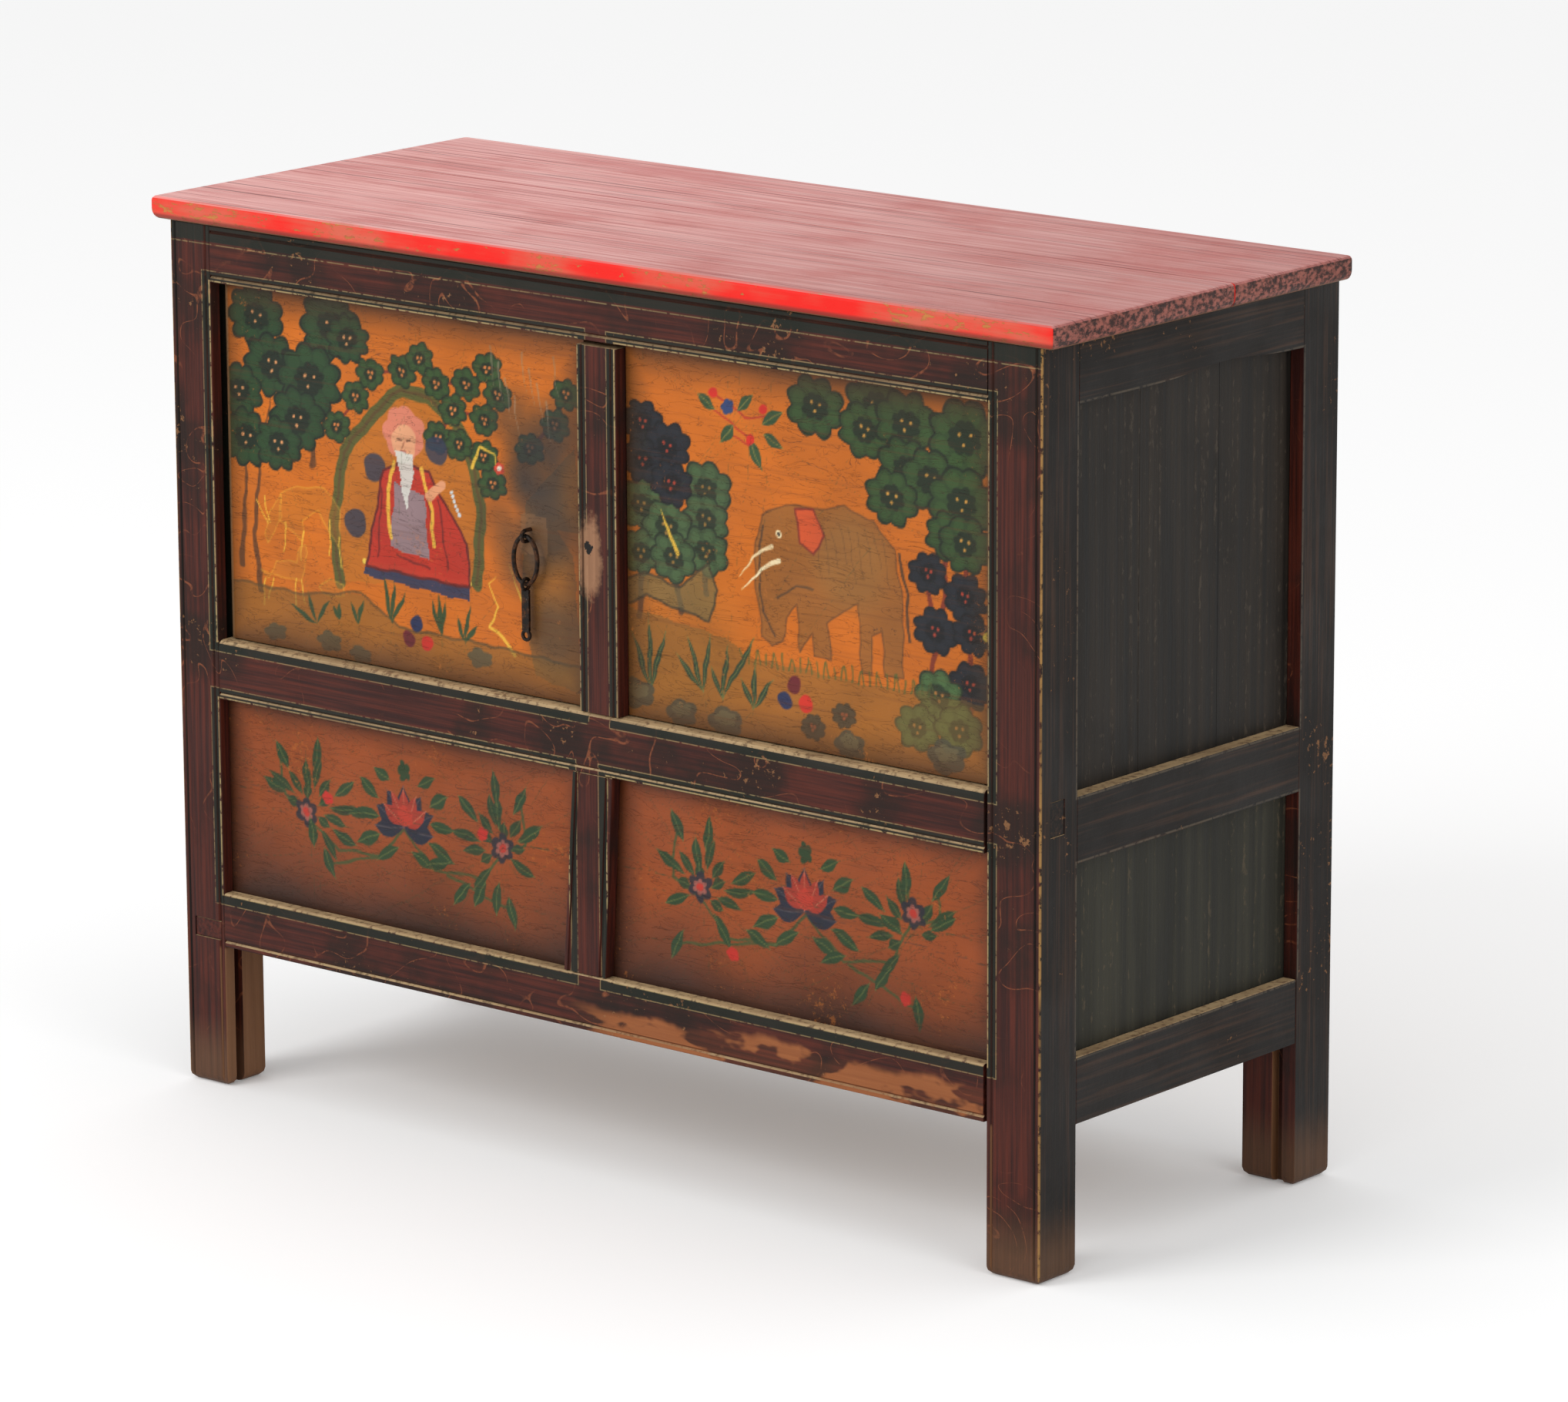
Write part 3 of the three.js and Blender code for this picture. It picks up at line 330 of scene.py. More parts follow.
def painted_frame(name, grain):
    """Frame paint. grain gives the length of the wood's streaks along x, y and z."""
    p = Paint(name)
    streak = p.noise(grain, 5.0, 0.6)
    cloud = p.noise(0.09, 4.0)
    fleck = p.noise(0.006, 4.0, 0.65)
    front = p.ny.ramp(-0.5, -0.8)
    side = abs(p.nx).ramp(0.5, 0.8)
    colour = p.mix(rgb(46, 16, 11), rgb(84, 33, 20), streak.ramp(0.35, 0.7))
    colour = p.mix(colour, rgb(30, 21, 16), cloud.ramp(0.45, 0.65) * 0.8)
    curl = p.noise((0.07, 0.07, 0.055), 0.0, 0.5, 1.6)
    scroll = abs(curl - 0.5).ramp(0.014, 0.005) * fleck.ramp(0.35, 0.6) * cloud.ramp(0.42, 0.55) * front
    colour = p.mix(colour, rgb(150, 84, 52), scroll * 0.55)
    outside = abs(p.x).ramp(HALF_WIDTH - 0.015, HALF_WIDTH - 0.005)
    dark_side = p.mix(rgb(24, 20, 17), rgb(58, 40, 29), streak.ramp(0.45, 0.75))
    colour = p.mix(colour, dark_side, side * outside)
    away = distance_to(p.x, p.z, FRONT_OPENINGS)
    away_side = distance_to(p.y, p.z, SIDE_OPENINGS)
    lines = away.band(*PALE_LINE, 0.0005).most(away.band(*OUTER_LINE, 0.0004) * 0.6) * front
    side_lines = away_side.band(*SIDE_LINE, 0.0006) * side * outside
    groove = away.band(*GROOVE_LINE, 0.0006) * front
    top_strip = p.z.ramp(RAIL_STRIP_LOW, RAIL_STRIP_LOW + 0.0015) * front
    top_line = p.z.band(*RAIL_LINE, 0.0004) * front
    worn = fleck.ramp(0.36, 0.5) * cloud.ramp(0.3, 0.55, 0.45, 1.0)
    colour = p.mix(colour, rgb(22, 27, 19), groove.most(top_strip) * 0.92)
    colour = p.mix(colour, rgb(176, 156, 108), lines.most(top_line * 0.5) * worn * 0.8)
    colour = p.mix(colour, rgb(104, 92, 76), side_lines * worn * 0.5)
    ledge = p.nz.ramp(0.4, 0.8) * p.z.ramp(SILL_TOP + 0.04, SILL_TOP)
    colour = p.mix(colour, p.mix(rgb(150, 118, 82), rgb(206, 180, 138), streak), ledge * (0.4 + 0.6 * worn))
    foot = (p.z + 0.03 * cloud).ramp(FOOT_PAINTED, FOOT_BARE)
    colour = p.mix(colour, p.mix(rgb(70, 48, 34), rgb(112, 80, 56), streak), foot * 0.75)
    inner_leg = p.z.ramp(RAIL_UNDERSIDE + 0.0006, RAIL_UNDERSIDE - 0.0034) * side * (1.0 - outside)
    colour = p.mix(colour, p.mix(rgb(92, 60, 38), rgb(142, 100, 68), streak), inner_leg)
    patch = (p.x + 0.2 * cloud).ramp(0.06, 0.16) * p.x.ramp(RIGHT, RIGHT - 0.005)
    patch = patch * (p.z + 0.05 * cloud).ramp(LOW_LOW + 0.006, LOW_LOW - 0.002)
    islands = p.noise((0.07, 0.07, 0.03), 3.0).ramp(0.5, 0.56)
    patch = patch * (1.0 - 0.9 * islands) * front
    colour = p.mix(colour, p.mix(rgb(122, 66, 34), rgb(160, 98, 56), streak), patch)
    to_hole = ((p.x - HOLE_X) ** 2.0 + (p.z - HOLE_Z) ** 2.0) ** 0.5 + 0.012 * (fleck - 0.5)
    handled = ((p.x - HANDLED_X) * 1.6) ** 2.0 + ((p.z - HANDLED_Z) * 0.6) ** 2.0
    handled = (handled ** 0.5 + 0.02 * (fleck - 0.5)).ramp(0.026, 0.014) * front
    colour = p.mix(colour, p.mix(rgb(120, 80, 54), rgb(176, 132, 98), streak), handled * 0.8)
    # Painted shade: a near-black disc on the stile's front stands for the shade inside its hole.
    painted_hole_shade = to_hole.ramp(HOLE_RADIUS + 0.0005, HOLE_RADIUS - 0.0005) * front
    colour = p.mix(colour, rgb(16, 11, 9), painted_hole_shade)
    rubbed = abs(p.x).ramp(HALF_WIDTH - 0.002, HALF_WIDTH - 0.0008) * (p.y - FRONT_Y).ramp(0.0022, 0.0008)
    colour = p.mix(colour, rgb(170, 128, 72), rubbed * worn * 0.8)
    chip = (fleck * 0.5 + cloud * 0.5).ramp(0.62, 0.65)
    colour = p.mix(colour, rgb(150, 104, 66), chip * 0.6)
    rough = cloud.ramp(0.3, 0.7, 0.5, 0.68)
    return p.finish(colour, rough, streak * 0.6 + fleck * 0.3 - chip * 0.4, 0.0007)

print("frame half width", round(HALF_WIDTH, 4), "rail underside", round(RAIL_UNDERSIDE, 4))
upright_paint = painted_frame("painted_frame_upright", (0.004, 0.004, 0.16))
level_paint = painted_frame("painted_frame_level", (0.16, 0.004, 0.004))
deep_paint = painted_frame("painted_frame_side", (0.004, 0.16, 0.004))

# %% [markdown]
# The top's red has faded to pink where hands and light reached it, and scratches follow the grain. Its
# front edge kept a bright red, broken by chips that show yellow and orange bare wood.

# %% lid paint
SEAM_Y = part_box("top_board_front")[1][1]
LID_MOULDING_TOP = 0.79

def painted_top(name):
    """Lid paint: faded pink on the upper face, bright red with chips along the edges."""
    p = Paint(name)
    streak = p.noise((0.22, 0.0035, 0.01), 6.0, 0.62)
    cloud = p.noise((0.16, 0.1, 0.1), 4.0)
    fleck = p.noise((0.012, 0.006, 0.004), 4.0, 0.65)
    scratch = p.noise((0.30, 0.0018, 0.01), 2.0, 0.5, 0.4)
    up = p.nz.ramp(0.5, 0.9)
    right_share = (p.x + 0.25 * cloud).ramp(-0.2, 0.62)
    faded = p.mix(rgb(238, 182, 176), rgb(204, 122, 118), streak.ramp(0.3, 0.7))
    faded = p.mix(faded, rgb(156, 88, 80), right_share * 0.5)
    faded = p.mix(faded, rgb(74, 34, 32), scratch.ramp(0.6, 0.68) * 0.75)
    faded = p.mix(faded, rgb(186, 84, 78), cloud.ramp(0.5, 0.68) * 0.3)
    seam = (p.y + 0.0012 * cloud).band(SEAM_Y + 0.0001, SEAM_Y + 0.0017, 0.0004)
    faded = p.mix(faded, rgb(58, 30, 26), seam * 0.85)
    edge = p.mix(rgb(232, 26, 14), rgb(206, 96, 74), (cloud + 0.3 * streak).ramp(0.55, 0.8))
    chip = (fleck * 0.6 + cloud * 0.4).ramp(0.56, 0.6)
    edge = p.mix(edge, p.mix(rgb(214, 150, 70), rgb(120, 66, 40), streak), chip * 0.85)
    low_edge = p.z.ramp(LID_MOULDING_TOP + 0.0015, LID_MOULDING_TOP - 0.0015)
    edge = p.mix(edge, rgb(112, 44, 34), low_edge * 0.7)
    end_grain = p.nx.ramp(0.4, 0.8)
    edge = p.mix(edge, p.mix(rgb(52, 30, 26), rgb(150, 88, 76), fleck.ramp(0.4, 0.62)), end_grain)
    colour = p.mix(edge, faded, up)
    under = p.nz.ramp(-0.5, -0.9)
    colour = p.mix(colour, rgb(112, 84, 60), under)
    rough = cloud.ramp(0.3, 0.7, 0.42, 0.6)
    return p.finish(colour, rough, streak * 0.7 + fleck * 0.3 - chip * 0.3, 0.0009)

top_paint = painted_top("painted_top")
print("seam of the lid at y", round(SEAM_Y, 4))

# %% [markdown]
# The side boards are nearly black, with thin vertical streaks where the paint ran or wore along the
# grain. The lower panel has a grey-green cast, and boards that nobody sees are plain, dusty pine.

# %% plainer finishes
def streaked(name, dark, light, grain, rough_value, worn_share=0.0, worn_colour=(120, 100, 76)):
    """Boards with long streaks from dark to light, and small worn spots.

    grain gives the streaks' lengths along x, y and z, worn_share how much of the board is rubbed.
    """
    p = Paint(name)
    streak = p.noise(grain, 6.0, 0.6)
    ring = p.noise(tuple(size * 3.2 for size in grain), 3.0, 0.5, 0.6)
    fleck = p.noise((0.005, 0.005, 0.009), 4.0, 0.65)
    cloud = p.noise(0.12, 3.0)
    colour = p.mix(rgb(*dark), rgb(*light), (streak * 0.6 + ring * 0.4).ramp(0.34, 0.68))
    colour = p.mix(colour, rgb(*dark), cloud.ramp(0.5, 0.72) * 0.6)
    chip = (fleck * 0.55 + streak * 0.45).ramp(0.585 - 0.06 * worn_share, 0.63)
    colour = p.mix(colour, rgb(*worn_colour), chip * (0.12 + 0.3 * worn_share))
    rough = streak.ramp(0.3, 0.7, rough_value, rough_value + 0.15)
    return p.finish(colour, rough, streak * 0.7 + fleck * 0.3, 0.0008)

UPRIGHT_GRAIN, LOW_GRAIN = (0.005, 0.006, 0.26), (0.005, 0.006, 0.2)
LEVEL_GRAIN, DEEP_GRAIN = (0.3, 0.006, 0.006), (0.006, 0.3, 0.006)
side_black = streaked("dark_side", (18, 16, 13), (46, 39, 32), UPRIGHT_GRAIN, 0.5, 0.3, (104, 92, 78))
low_green = streaked("painted_low_side", (30, 29, 23), (54, 52, 42), LOW_GRAIN, 0.55, 0.3)
bare_level = streaked("bare_wood_level", (120, 88, 58), (172, 136, 96), LEVEL_GRAIN, 0.65, 0.2, (96, 70, 48))
bare_deep = streaked("bare_wood_deep", (112, 84, 56), (164, 130, 92), DEEP_GRAIN, 0.65, 0.2, (90, 66, 46))
print("plain finishes", side_black.name, low_green.name, bare_level.name, bare_deep.name)

# %% [markdown]
# The staple, ring and strap are hand-forged iron, dark brown with rust, brighter where they rub.

# %% iron
def forged_iron():
    """Dark iron with rust in soft patches and small bright pits."""
    p = Paint("dark_iron")
    rust = p.noise(0.006, 6.0, 0.65)
    pit = p.noise(0.0016, 4.0, 0.6)
    colour = p.mix(rgb(34, 29, 26), rgb(92, 60, 40), rust.ramp(0.45, 0.68))
    colour = p.mix(colour, rgb(120, 112, 104), pit.ramp(0.62, 0.7) * 0.5)
    return p.finish(colour, rust.ramp(0.35, 0.65, 0.38, 0.7), rust * 0.6 + pit * 0.4, 0.0005, 0.7)

iron = forged_iron()
print("iron", iron.name)

# %% [markdown]
# Each painting is brushwork on an orange ground. Here it is worked out in numpy, one colour for each
# vertex of a fine grid over the board: round rosettes, leaves, strokes and filled outlines are laid one
# over the other as a painter does, each with an edge that wavers a little like a hand.

# %% brushes
def swung(centre, turn, out_u, out_w):
    """The place on an ellipse round centre, turn radians round from its right end."""
    return centre[0] + out_u * np.cos(turn), centre[1] + out_w * np.sin(turn)

class Canvas:
    """A board's paint film: one colour for each vertex, in millimetres from the opening's lower left."""

    def __init__(self, u, w, ground):
        self.u, self.w = u, w
        self.colour = np.tile(np.array(ground, float), (len(u), 1))
        self.hand_u = u + 0.8 * np.sin(w / 6.1 + np.sin(u / 8.3)) + 0.35 * np.sin(u / 3.3 + w / 2.9)
        self.hand_w = w + 0.8 * np.sin(u / 6.7 + np.sin(w / 7.9)) + 0.35 * np.sin(w / 3.1 - u / 3.7)

    def lay(self, inside, colour, strength=1.0):
        """Blends colour in where inside, a share in 0..1, says."""
        share = (np.clip(inside, 0.0, 1.0) * strength)[:, None]
        self.colour = self.colour * (1 - share) + np.array(colour, float) * share

    def along(self, start, stop):
        """How far each vertex lies along the line from start to stop, 0 to 1 between them, and that line."""
        line = np.array(stop, float) - np.array(start, float)
        reach = (self.hand_u - start[0]) * line[0] + (self.hand_w - start[1]) * line[1]
        return reach / max(line @ line, 1e-6), line

    def disc(self, centre, radius, colour, strength=1.0, lobes=0, depth=0.12, squeeze=1.0, soft=1.2):
        """An ellipse, or a rosette: its rim sinks between lobes as the absolute value of a sine does."""
        du, dw = self.hand_u - centre[0], (self.hand_w - centre[1]) / squeeze
        rim = radius
        if lobes:
            scallop = np.abs(np.sin(lobes * np.arctan2(dw, du) / 2))
            rim = radius * (1 - 1.6 * depth * (1 - scallop))
        self.lay((rim - np.hypot(du, dw)) / soft + 0.5, colour, strength)

    def stroke(self, points, width, colour, strength=1.0, taper=False):
        """A brush stroke along a broken line, thinner to its end if taper is set."""
        inside = np.zeros(len(self.u))
        count = len(points) - 1
        for step, (start, stop) in enumerate(zip(points, points[1:])):
            share, line = self.along(start, stop)
            share = np.clip(share, 0, 1)
            far_u = self.hand_u - start[0] - share * line[0]
            far_w = self.hand_w - start[1] - share * line[1]
            half = width / 2 * (1 - 0.85 * (step + share) / count if taper else 1.0)
            inside = np.maximum(inside, np.clip(half - np.hypot(far_u, far_w) + 0.5, 0, 1))
        self.lay(inside, colour, strength)

    def fill(self, points, colour, strength=1.0, rim=None, rim_width=2.0):
        """A filled outline, by counting how often a ray to the right crosses it, and its rim if asked."""
        inside = np.zeros(len(self.u), bool)
        for first, second in zip(points, points[1:] + points[:1]):
            crosses = (first[1] > self.hand_w) != (second[1] > self.hand_w)
            rise = (second[1] - first[1]) or 1e-9
            crossing = first[0] + (self.hand_w - first[1]) * (second[0] - first[0]) / rise
            inside ^= crosses & (self.hand_u < crossing)
        self.lay(inside.astype(float), colour, strength)
        if rim:
            self.stroke(points + points[:1], rim_width, rim, strength)

    def leaf(self, root, tip, width, colour, vein=None):
        """A pointed leaf from root to tip, its half width following half a sine wave."""
        share, line = self.along(root, tip)
        off = (self.hand_w - root[1]) * line[0] - (self.hand_u - root[0]) * line[1]
        off = off / max(np.hypot(*line), 1e-6)
        half = width / 2 * np.sin(np.pi * np.clip(share, 0, 1))
        self.lay((half - np.abs(off)) / 0.9 + 0.3, colour)
        if vein:
            self.stroke([root, tip], 0.9, vein, 0.7)

    def rosette(self, centre, size, body, heart, lobes=8):
        """A tree's leaf cluster: a dark rim, a scalloped body, paler lobes and three dots at its heart."""
        radius = size * 1.18
        dark = tuple(0.5 * value for value in body)
        pale = tuple(min(255, 1.3 * value) for value in body)
        self.disc(centre, radius * 1.14, dark, 1.0, lobes, squeeze=0.86)
        self.disc(centre, radius * 1.04, body, 0.85, lobes, squeeze=0.86)
        for step in range(lobes):
            turn = 2 * np.pi * (step + 0.5) / lobes
            self.disc(swung(centre, turn, radius * 0.7, radius * 0.6), radius * 0.2, pale, 0.4)
        self.disc(centre, radius * 0.5, dark, 0.9, lobes, squeeze=0.86)
        for step in range(3):
            turn = 2 * np.pi * (step + 0.2) / 3
            self.disc(swung(centre, turn, radius * 0.17, radius * 0.17), 1.5, heart, 0.95, soft=1.0)

    def clusters(self, places, body, heart, lobes):
        """Rosettes at places, each (along, up, size)."""
        for along, up, size in places:
            self.rosette((along, up), size, body, heart, lobes)

    def strokes(self, lines, width, colour, strength=1.0, taper=False):
        """Several strokes with one brush."""
        for points in lines:
            self.stroke(points, width, colour, strength, taper)

    def tufts(self, groups, width, colour, vein=None):
        """Grass: each group is a root and the tips of the blades that leave it."""
        for root, *tips in groups:
            for tip in tips:
                self.leaf(root, tip, width, colour, vein)

    def clouds_and_dark_rim(self, seed, dark_rim):
        """Grime in soft clouds, sums of slow sine waves, and a darker rim along the board's edges."""
        rng = np.random.default_rng(seed)
        cloud = 0
        for size in (61.0, 37.0, 19.0, 11.0):
            first, second = rng.uniform(0, 6.3), rng.uniform(0, 6.3)
            cloud = cloud + np.sin(self.u / size + first + 2 * np.sin(self.w / (size * 1.3) + second)) / 4
        self.colour *= (1 + 0.07 * cloud)[:, None]
        from_sides = np.minimum(self.u, self.u.max() - self.u)
        from_ends = np.minimum(self.w, self.w.max() - self.w)
        edge = np.minimum(from_sides, from_ends)
        # Darker towards the board's edges, fading out 34 mm in from them.
        self.lay(np.clip(1 - edge / 34.0, 0, 1) ** 1.4, dark_rim, 0.72)

DARK_GREEN, LEAF_GREEN, BLUE_BLACK = (32, 56, 28), (44, 66, 30), (26, 28, 34)
GOLD, RED, STEM = (226, 178, 58), (190, 34, 22), (120, 40, 22)
print("brush colours", DARK_GREEN, LEAF_GREEN, BLUE_BLACK)

# %% [markdown]
# The left door shows a hermit's garden: trees with round leaf clusters over a cave, an old man in a red
# robe on a seat, deer, cranes and tufts of grass. Places are in millimetres from the opening's lower left.

# %% left door trees
def paint_garden_trees(c):
    """The trees and the leafy arch of the cave."""
    c.disc((330, 110), 95, (188, 96, 18), 0.35, soft=60)
    bank = [(358, 171), (412, 222), (430, 150), (392, 151), (411, 130), (420, 10), (365, 20), (350, 90)]
    c.fill(bank, (96, 74, 38), 0.55)
    trunks = [[(43, 50), (36, 100), (44, 160), (60, 230)], [(20, 70), (26, 130), (30, 200)],
              [(108, 170), (110, 240)]]
    c.strokes(trunks, 7, (78, 46, 22), 0.8, True)
    big = [(43, 295, 26), (132, 296, 28), (152, 287, 20), (61, 254, 26), (106, 246, 30),
           (91, 209, 26), (21, 227, 22), (28, 185, 24), (67, 184, 22)]
    c.clusters(big, DARK_GREEN, (222, 150, 96), 9)
    arch = [(138, 70), (132, 120), (138, 152), (146, 188), (180, 224), (214, 251),
            (246, 247), (278, 229), (291, 211), (306, 160), (300, 90)]
    c.fill(arch, (150, 100, 30), 0.35)
    c.stroke(arch, 12, (64, 76, 34), 0.85)
    c.stroke(arch, 3, (84, 60, 26), 0.8)
    stems = [[(161, 237), (178, 260), (216, 267), (237, 280)], [(138, 209), (161, 237)],
             [(255, 261), (290, 264), (315, 281)], [(257, 214), (275, 240), (311, 236)],
             [(281, 210), (310, 204), (319, 181)], [(362, 217), (392, 242), (404, 269)]]
    c.strokes(stems, 3, STEM, 0.9)
    small = [(178, 260), (216, 267), (237, 280), (161, 237), (138, 209), (255, 261),
             (290, 264), (315, 281), (326, 259), (275, 240), (311, 236), (257, 214),
             (310, 204), (281, 210), (319, 181), (362, 217), (392, 242), (404, 269)]
    c.clusters([(*place, 13) for place in small], LEAF_GREEN, (206, 120, 60), 7)

# %% left door figure
def paint_seated_figure(c):
    """The old man on his seat: cushions, robe, beard and beads. The face is plain and calm."""
    c.fill([(170, 91), (292, 88), (291, 74), (167, 81)], (36, 44, 78), 0.9)
    c.stroke([(168, 92), (292, 89)], 5, (222, 186, 70))
    for cushion in ((182, 178), (191, 124), (158, 125), (255, 202)):
        c.disc(cushion, 13, (38, 44, 70), 0.8)
    c.disc((217, 212), 25, (206, 120, 104), 0.85, 7, 0.08)
    robe = [(192, 176), (178, 122), (170, 89), (292, 86), (289, 123), (267, 154), (245, 181), (218, 188)]
    c.fill(robe, (176, 40, 24), 0.95, (92, 20, 16), 2.5)
    c.fill([(206, 168), (198, 110), (244, 104), (240, 160)], (128, 130, 138), 0.8)
    folds = [[(190, 160), (184, 100)], [(256, 160), (266, 100)],
             [(206, 104), (246, 96)], [(240, 170), (252, 120)]]
    c.strokes(folds, 2, (100, 22, 18), 0.8)
    collars = [[(204, 184), (196, 150), (200, 118)], [(236, 184), (248, 150), (250, 118)]]
    c.strokes(collars, 4, GOLD, 0.9)
    c.disc((217, 204), 14, (214, 150, 110), 1.0, squeeze=1.2)
    beard = [(206, 196), (228, 196), (226, 172), (219, 145), (212, 172)]
    c.fill(beard, (202, 198, 188), 0.95)
    c.strokes([[(210, 207), (214, 207)], [(220, 207), (224, 207)]], 1.2, (60, 30, 20), 0.9)
    c.stroke([(217, 206), (216, 200)], 1.2, (150, 84, 60), 0.8)
    c.stroke([(214, 196.5), (220, 196.5)], 1.3, (140, 50, 40), 0.9)
    c.stroke([(245, 160), (261, 173)], 8, (206, 140, 100))
    for bead in range(6):
        c.disc((272 + 1.6 * bead, 167 - 3.8 * bead), 1.8, (196, 210, 220), 0.9, soft=0.8)

# %% left door animals
def paint_deer_and_cranes(c):
    """Three deer and three cranes, drawn in gold lines over a thin brown."""
    big_deer = [(68, 140), (88, 149), (122, 151), (141, 135), (137, 102),
                (113, 130), (94, 119), (95, 101), (67, 115)]
    neck = [(68, 140), (70, 118), (52, 94), (48, 102), (56, 122)]
    c.fill(big_deer, (170, 104, 28), 0.35, GOLD, 1.4)
    c.fill(neck, (170, 104, 28), 0.35, GOLD, 1.3)
    legs_and_horns = [[(137, 110), (141, 84)], [(128, 124), (126, 92)], [(95, 110), (92, 84)],
                      [(74, 114), (72, 88)], [(55, 113), (49, 135)], [(52, 112), (40, 130)]]
    c.strokes(legs_and_horns, 1.3, GOLD, 0.9)
    small_deer = [(42, 69), (52, 62), (63, 79), (86, 80), (92, 96), (98, 98), (100, 92), (92, 66), (66, 64)]
    c.fill(small_deer, (176, 110, 34), 0.35, GOLD, 1.3)
    legs = [[(85, 66), (85, 39)], [(48, 62), (46, 36)], [(58, 62), (52, 44)], [(92, 66), (96, 46)]]
    c.strokes(legs, 1.3, GOLD, 0.9)
    lying_deer = [(112, 62), (126, 72), (142, 68), (144, 58), (118, 56)]
    c.fill(lying_deer, (176, 108, 34), 0.4, GOLD, 1.2)
    cranes = [[(342, 34), (330, 47), (314, 55), (324, 73), (314, 94), (321, 100)],
              [(353, 60), (353, 82), (344, 98), (337, 114)],
              [(295, 192), (306, 212), (322, 206), (325, 192)]]
    c.strokes(cranes, 3.4, GOLD, 0.9, True)
    c.disc((328, 195), 6, (214, 60, 40), 0.9, 5)
    c.disc((328, 195), 2.4, (232, 220, 200))

# %% left door ground and wear
def paint_left_door(c):
    """The whole left door: trees, figure, animals, ground, then the stains round the lock."""
    paint_garden_trees(c)
    paint_seated_figure(c)
    paint_deer_and_cranes(c)
    ground = [(0, 0), (420, 0), (420, 34), (307, 39), (209, 39), (163, 62), (92, 52), (7, 54), (0, 56)]
    c.fill(ground, (112, 80, 30), 0.55)
    ground_line = [(0, 55), (92, 53), (163, 64), (209, 39), (307, 39), (420, 34)]
    c.stroke(ground_line, 2.5, (80, 60, 28), 0.7)
    grass = [[(199, 40), (190, 84), (216, 73), (203, 80)], [(159, 34), (166, 58), (152, 54)],
             [(136, 36), (138, 52), (130, 48)], [(258, 38), (246, 70), (262, 72), (254, 78)],
             [(285, 36), (291, 71), (301, 55), (276, 58)], [(109, 28), (126, 53), (78, 42), (100, 56)]]
    c.tufts(grass, 5, (48, 66, 34))
    for along, up, size in ((125, 15, 16), (162, 8, 14), (302, 26, 15), (60, 14, 14)):
        c.disc((along, up), size, (74, 70, 50), 0.8, 5, 0.15, 0.6)
    for ball, tint in (((229, 46), (30, 38, 72)), ((219, 31), (96, 22, 30)), ((240, 29), (190, 36, 24))):
        c.disc(ball, 7, tint)
    stains = [(372, 200, 34, 0.7), (385, 150, 30, 0.65), (352, 120, 26, 0.5), (345, 240, 24, 0.45),
              (395, 235, 26, 0.6), (330, 150, 20, 0.35), (390, 60, 30, 0.5), (356, 186, 14, 0.6)]
    for along, up, size, share in stains:
        c.disc((along, up), size, (44, 40, 40), share, soft=26)
    for scrape in range(9):
        along, up = 318 + 9 * scrape, 300 - 13 * (scrape % 4)
        c.stroke([(along, up), (along + 5, up - 34)], 2.2, (150, 126, 110), 0.55, True)
    bare_plate = [(351, 125), (381, 125), (381, 160), (351, 160)]
    c.fill(bare_plate, (120, 84, 52), 0.6)

# %% [markdown]
# The right door shows an elephant walking to the left under trees and blossoms, with rocks and grass.

# %% right door trees
def paint_blossom_trees(c):
    """Branches, trunks, leaf clusters and blossoms on both sides, and the sprig at the top."""
    c.disc((60, 70), 70, (150, 96, 30), 0.3, soft=50)
    branches = [[(336, 10), (330, 90), (345, 160), (340, 230), (300, 280)],
                [(371, 60), (368, 150), (360, 230)], [(330, 120), (326, 170)]]
    c.strokes(branches, 5, (110, 36, 22), 0.85)
    trunks = [[(14, 90), (20, 150), (19, 220)], [(60, 100), (52, 160), (47, 239)], [(88, 120), (88, 210)]]
    c.strokes(trunks, 6, (84, 50, 26), 0.85)
    crown = [(207, 293, 24), (272, 301, 26), (260, 280, 22), (303, 290, 26), (364, 286, 30), (303, 253, 24),
             (328, 247, 24), (288, 227, 22), (361, 232, 28), (349, 203, 20), (365, 198, 22)]
    c.clusters(crown, LEAF_GREEN, (196, 140, 60), 8)
    left_leaves = [(89, 208, 22), (17, 186, 20), (88, 182, 20), (46, 170, 22), (88, 155, 20), (16, 145, 18),
                   (52, 145, 20)]
    c.clusters(left_leaves, (60, 80, 48), (150, 110, 50), 7)
    blossoms = [(19, 256, 18), (47, 239, 20), (19, 224, 18), (51, 208, 18), (326, 169, 16), (365, 154, 18),
                (334, 122, 18), (372, 124, 16), (371, 81, 18), (237, 36, 10), (204, 21, 10)]
    c.clusters(blossoms, BLUE_BLACK, (170, 60, 40), 8)
    low_leaves = [(337, 68, 20), (315, 38, 18), (359, 42, 20)]
    c.clusters(low_leaves, (64, 90, 50), (180, 120, 56), 7)
    c.stroke([(57, 150), (48, 168), (38, 183)], 5, GOLD, 0.9, True)
    sprig = [[(88, 283), (113, 270), (137, 257)], [(97, 292), (132, 275), (166, 279)],
             [(113, 259), (145, 250)]]
    c.strokes(sprig, 1.6, (160, 36, 24), 0.9)
    leaves = [[(100, 278), (80, 288)], [(124, 278), (140, 296)], [(150, 270), (172, 284)],
              [(120, 266), (104, 250)], [(150, 262), (172, 254)], [(137, 257), (150, 232)]]
    c.tufts(leaves, 11, (46, 70, 40), (150, 130, 60))
    c.disc((113, 281), 7, (40, 56, 96), 1.0, 5)
    for bud in ((97, 292), (152, 284), (137, 257)):
        c.disc(bud, 4.5, RED)

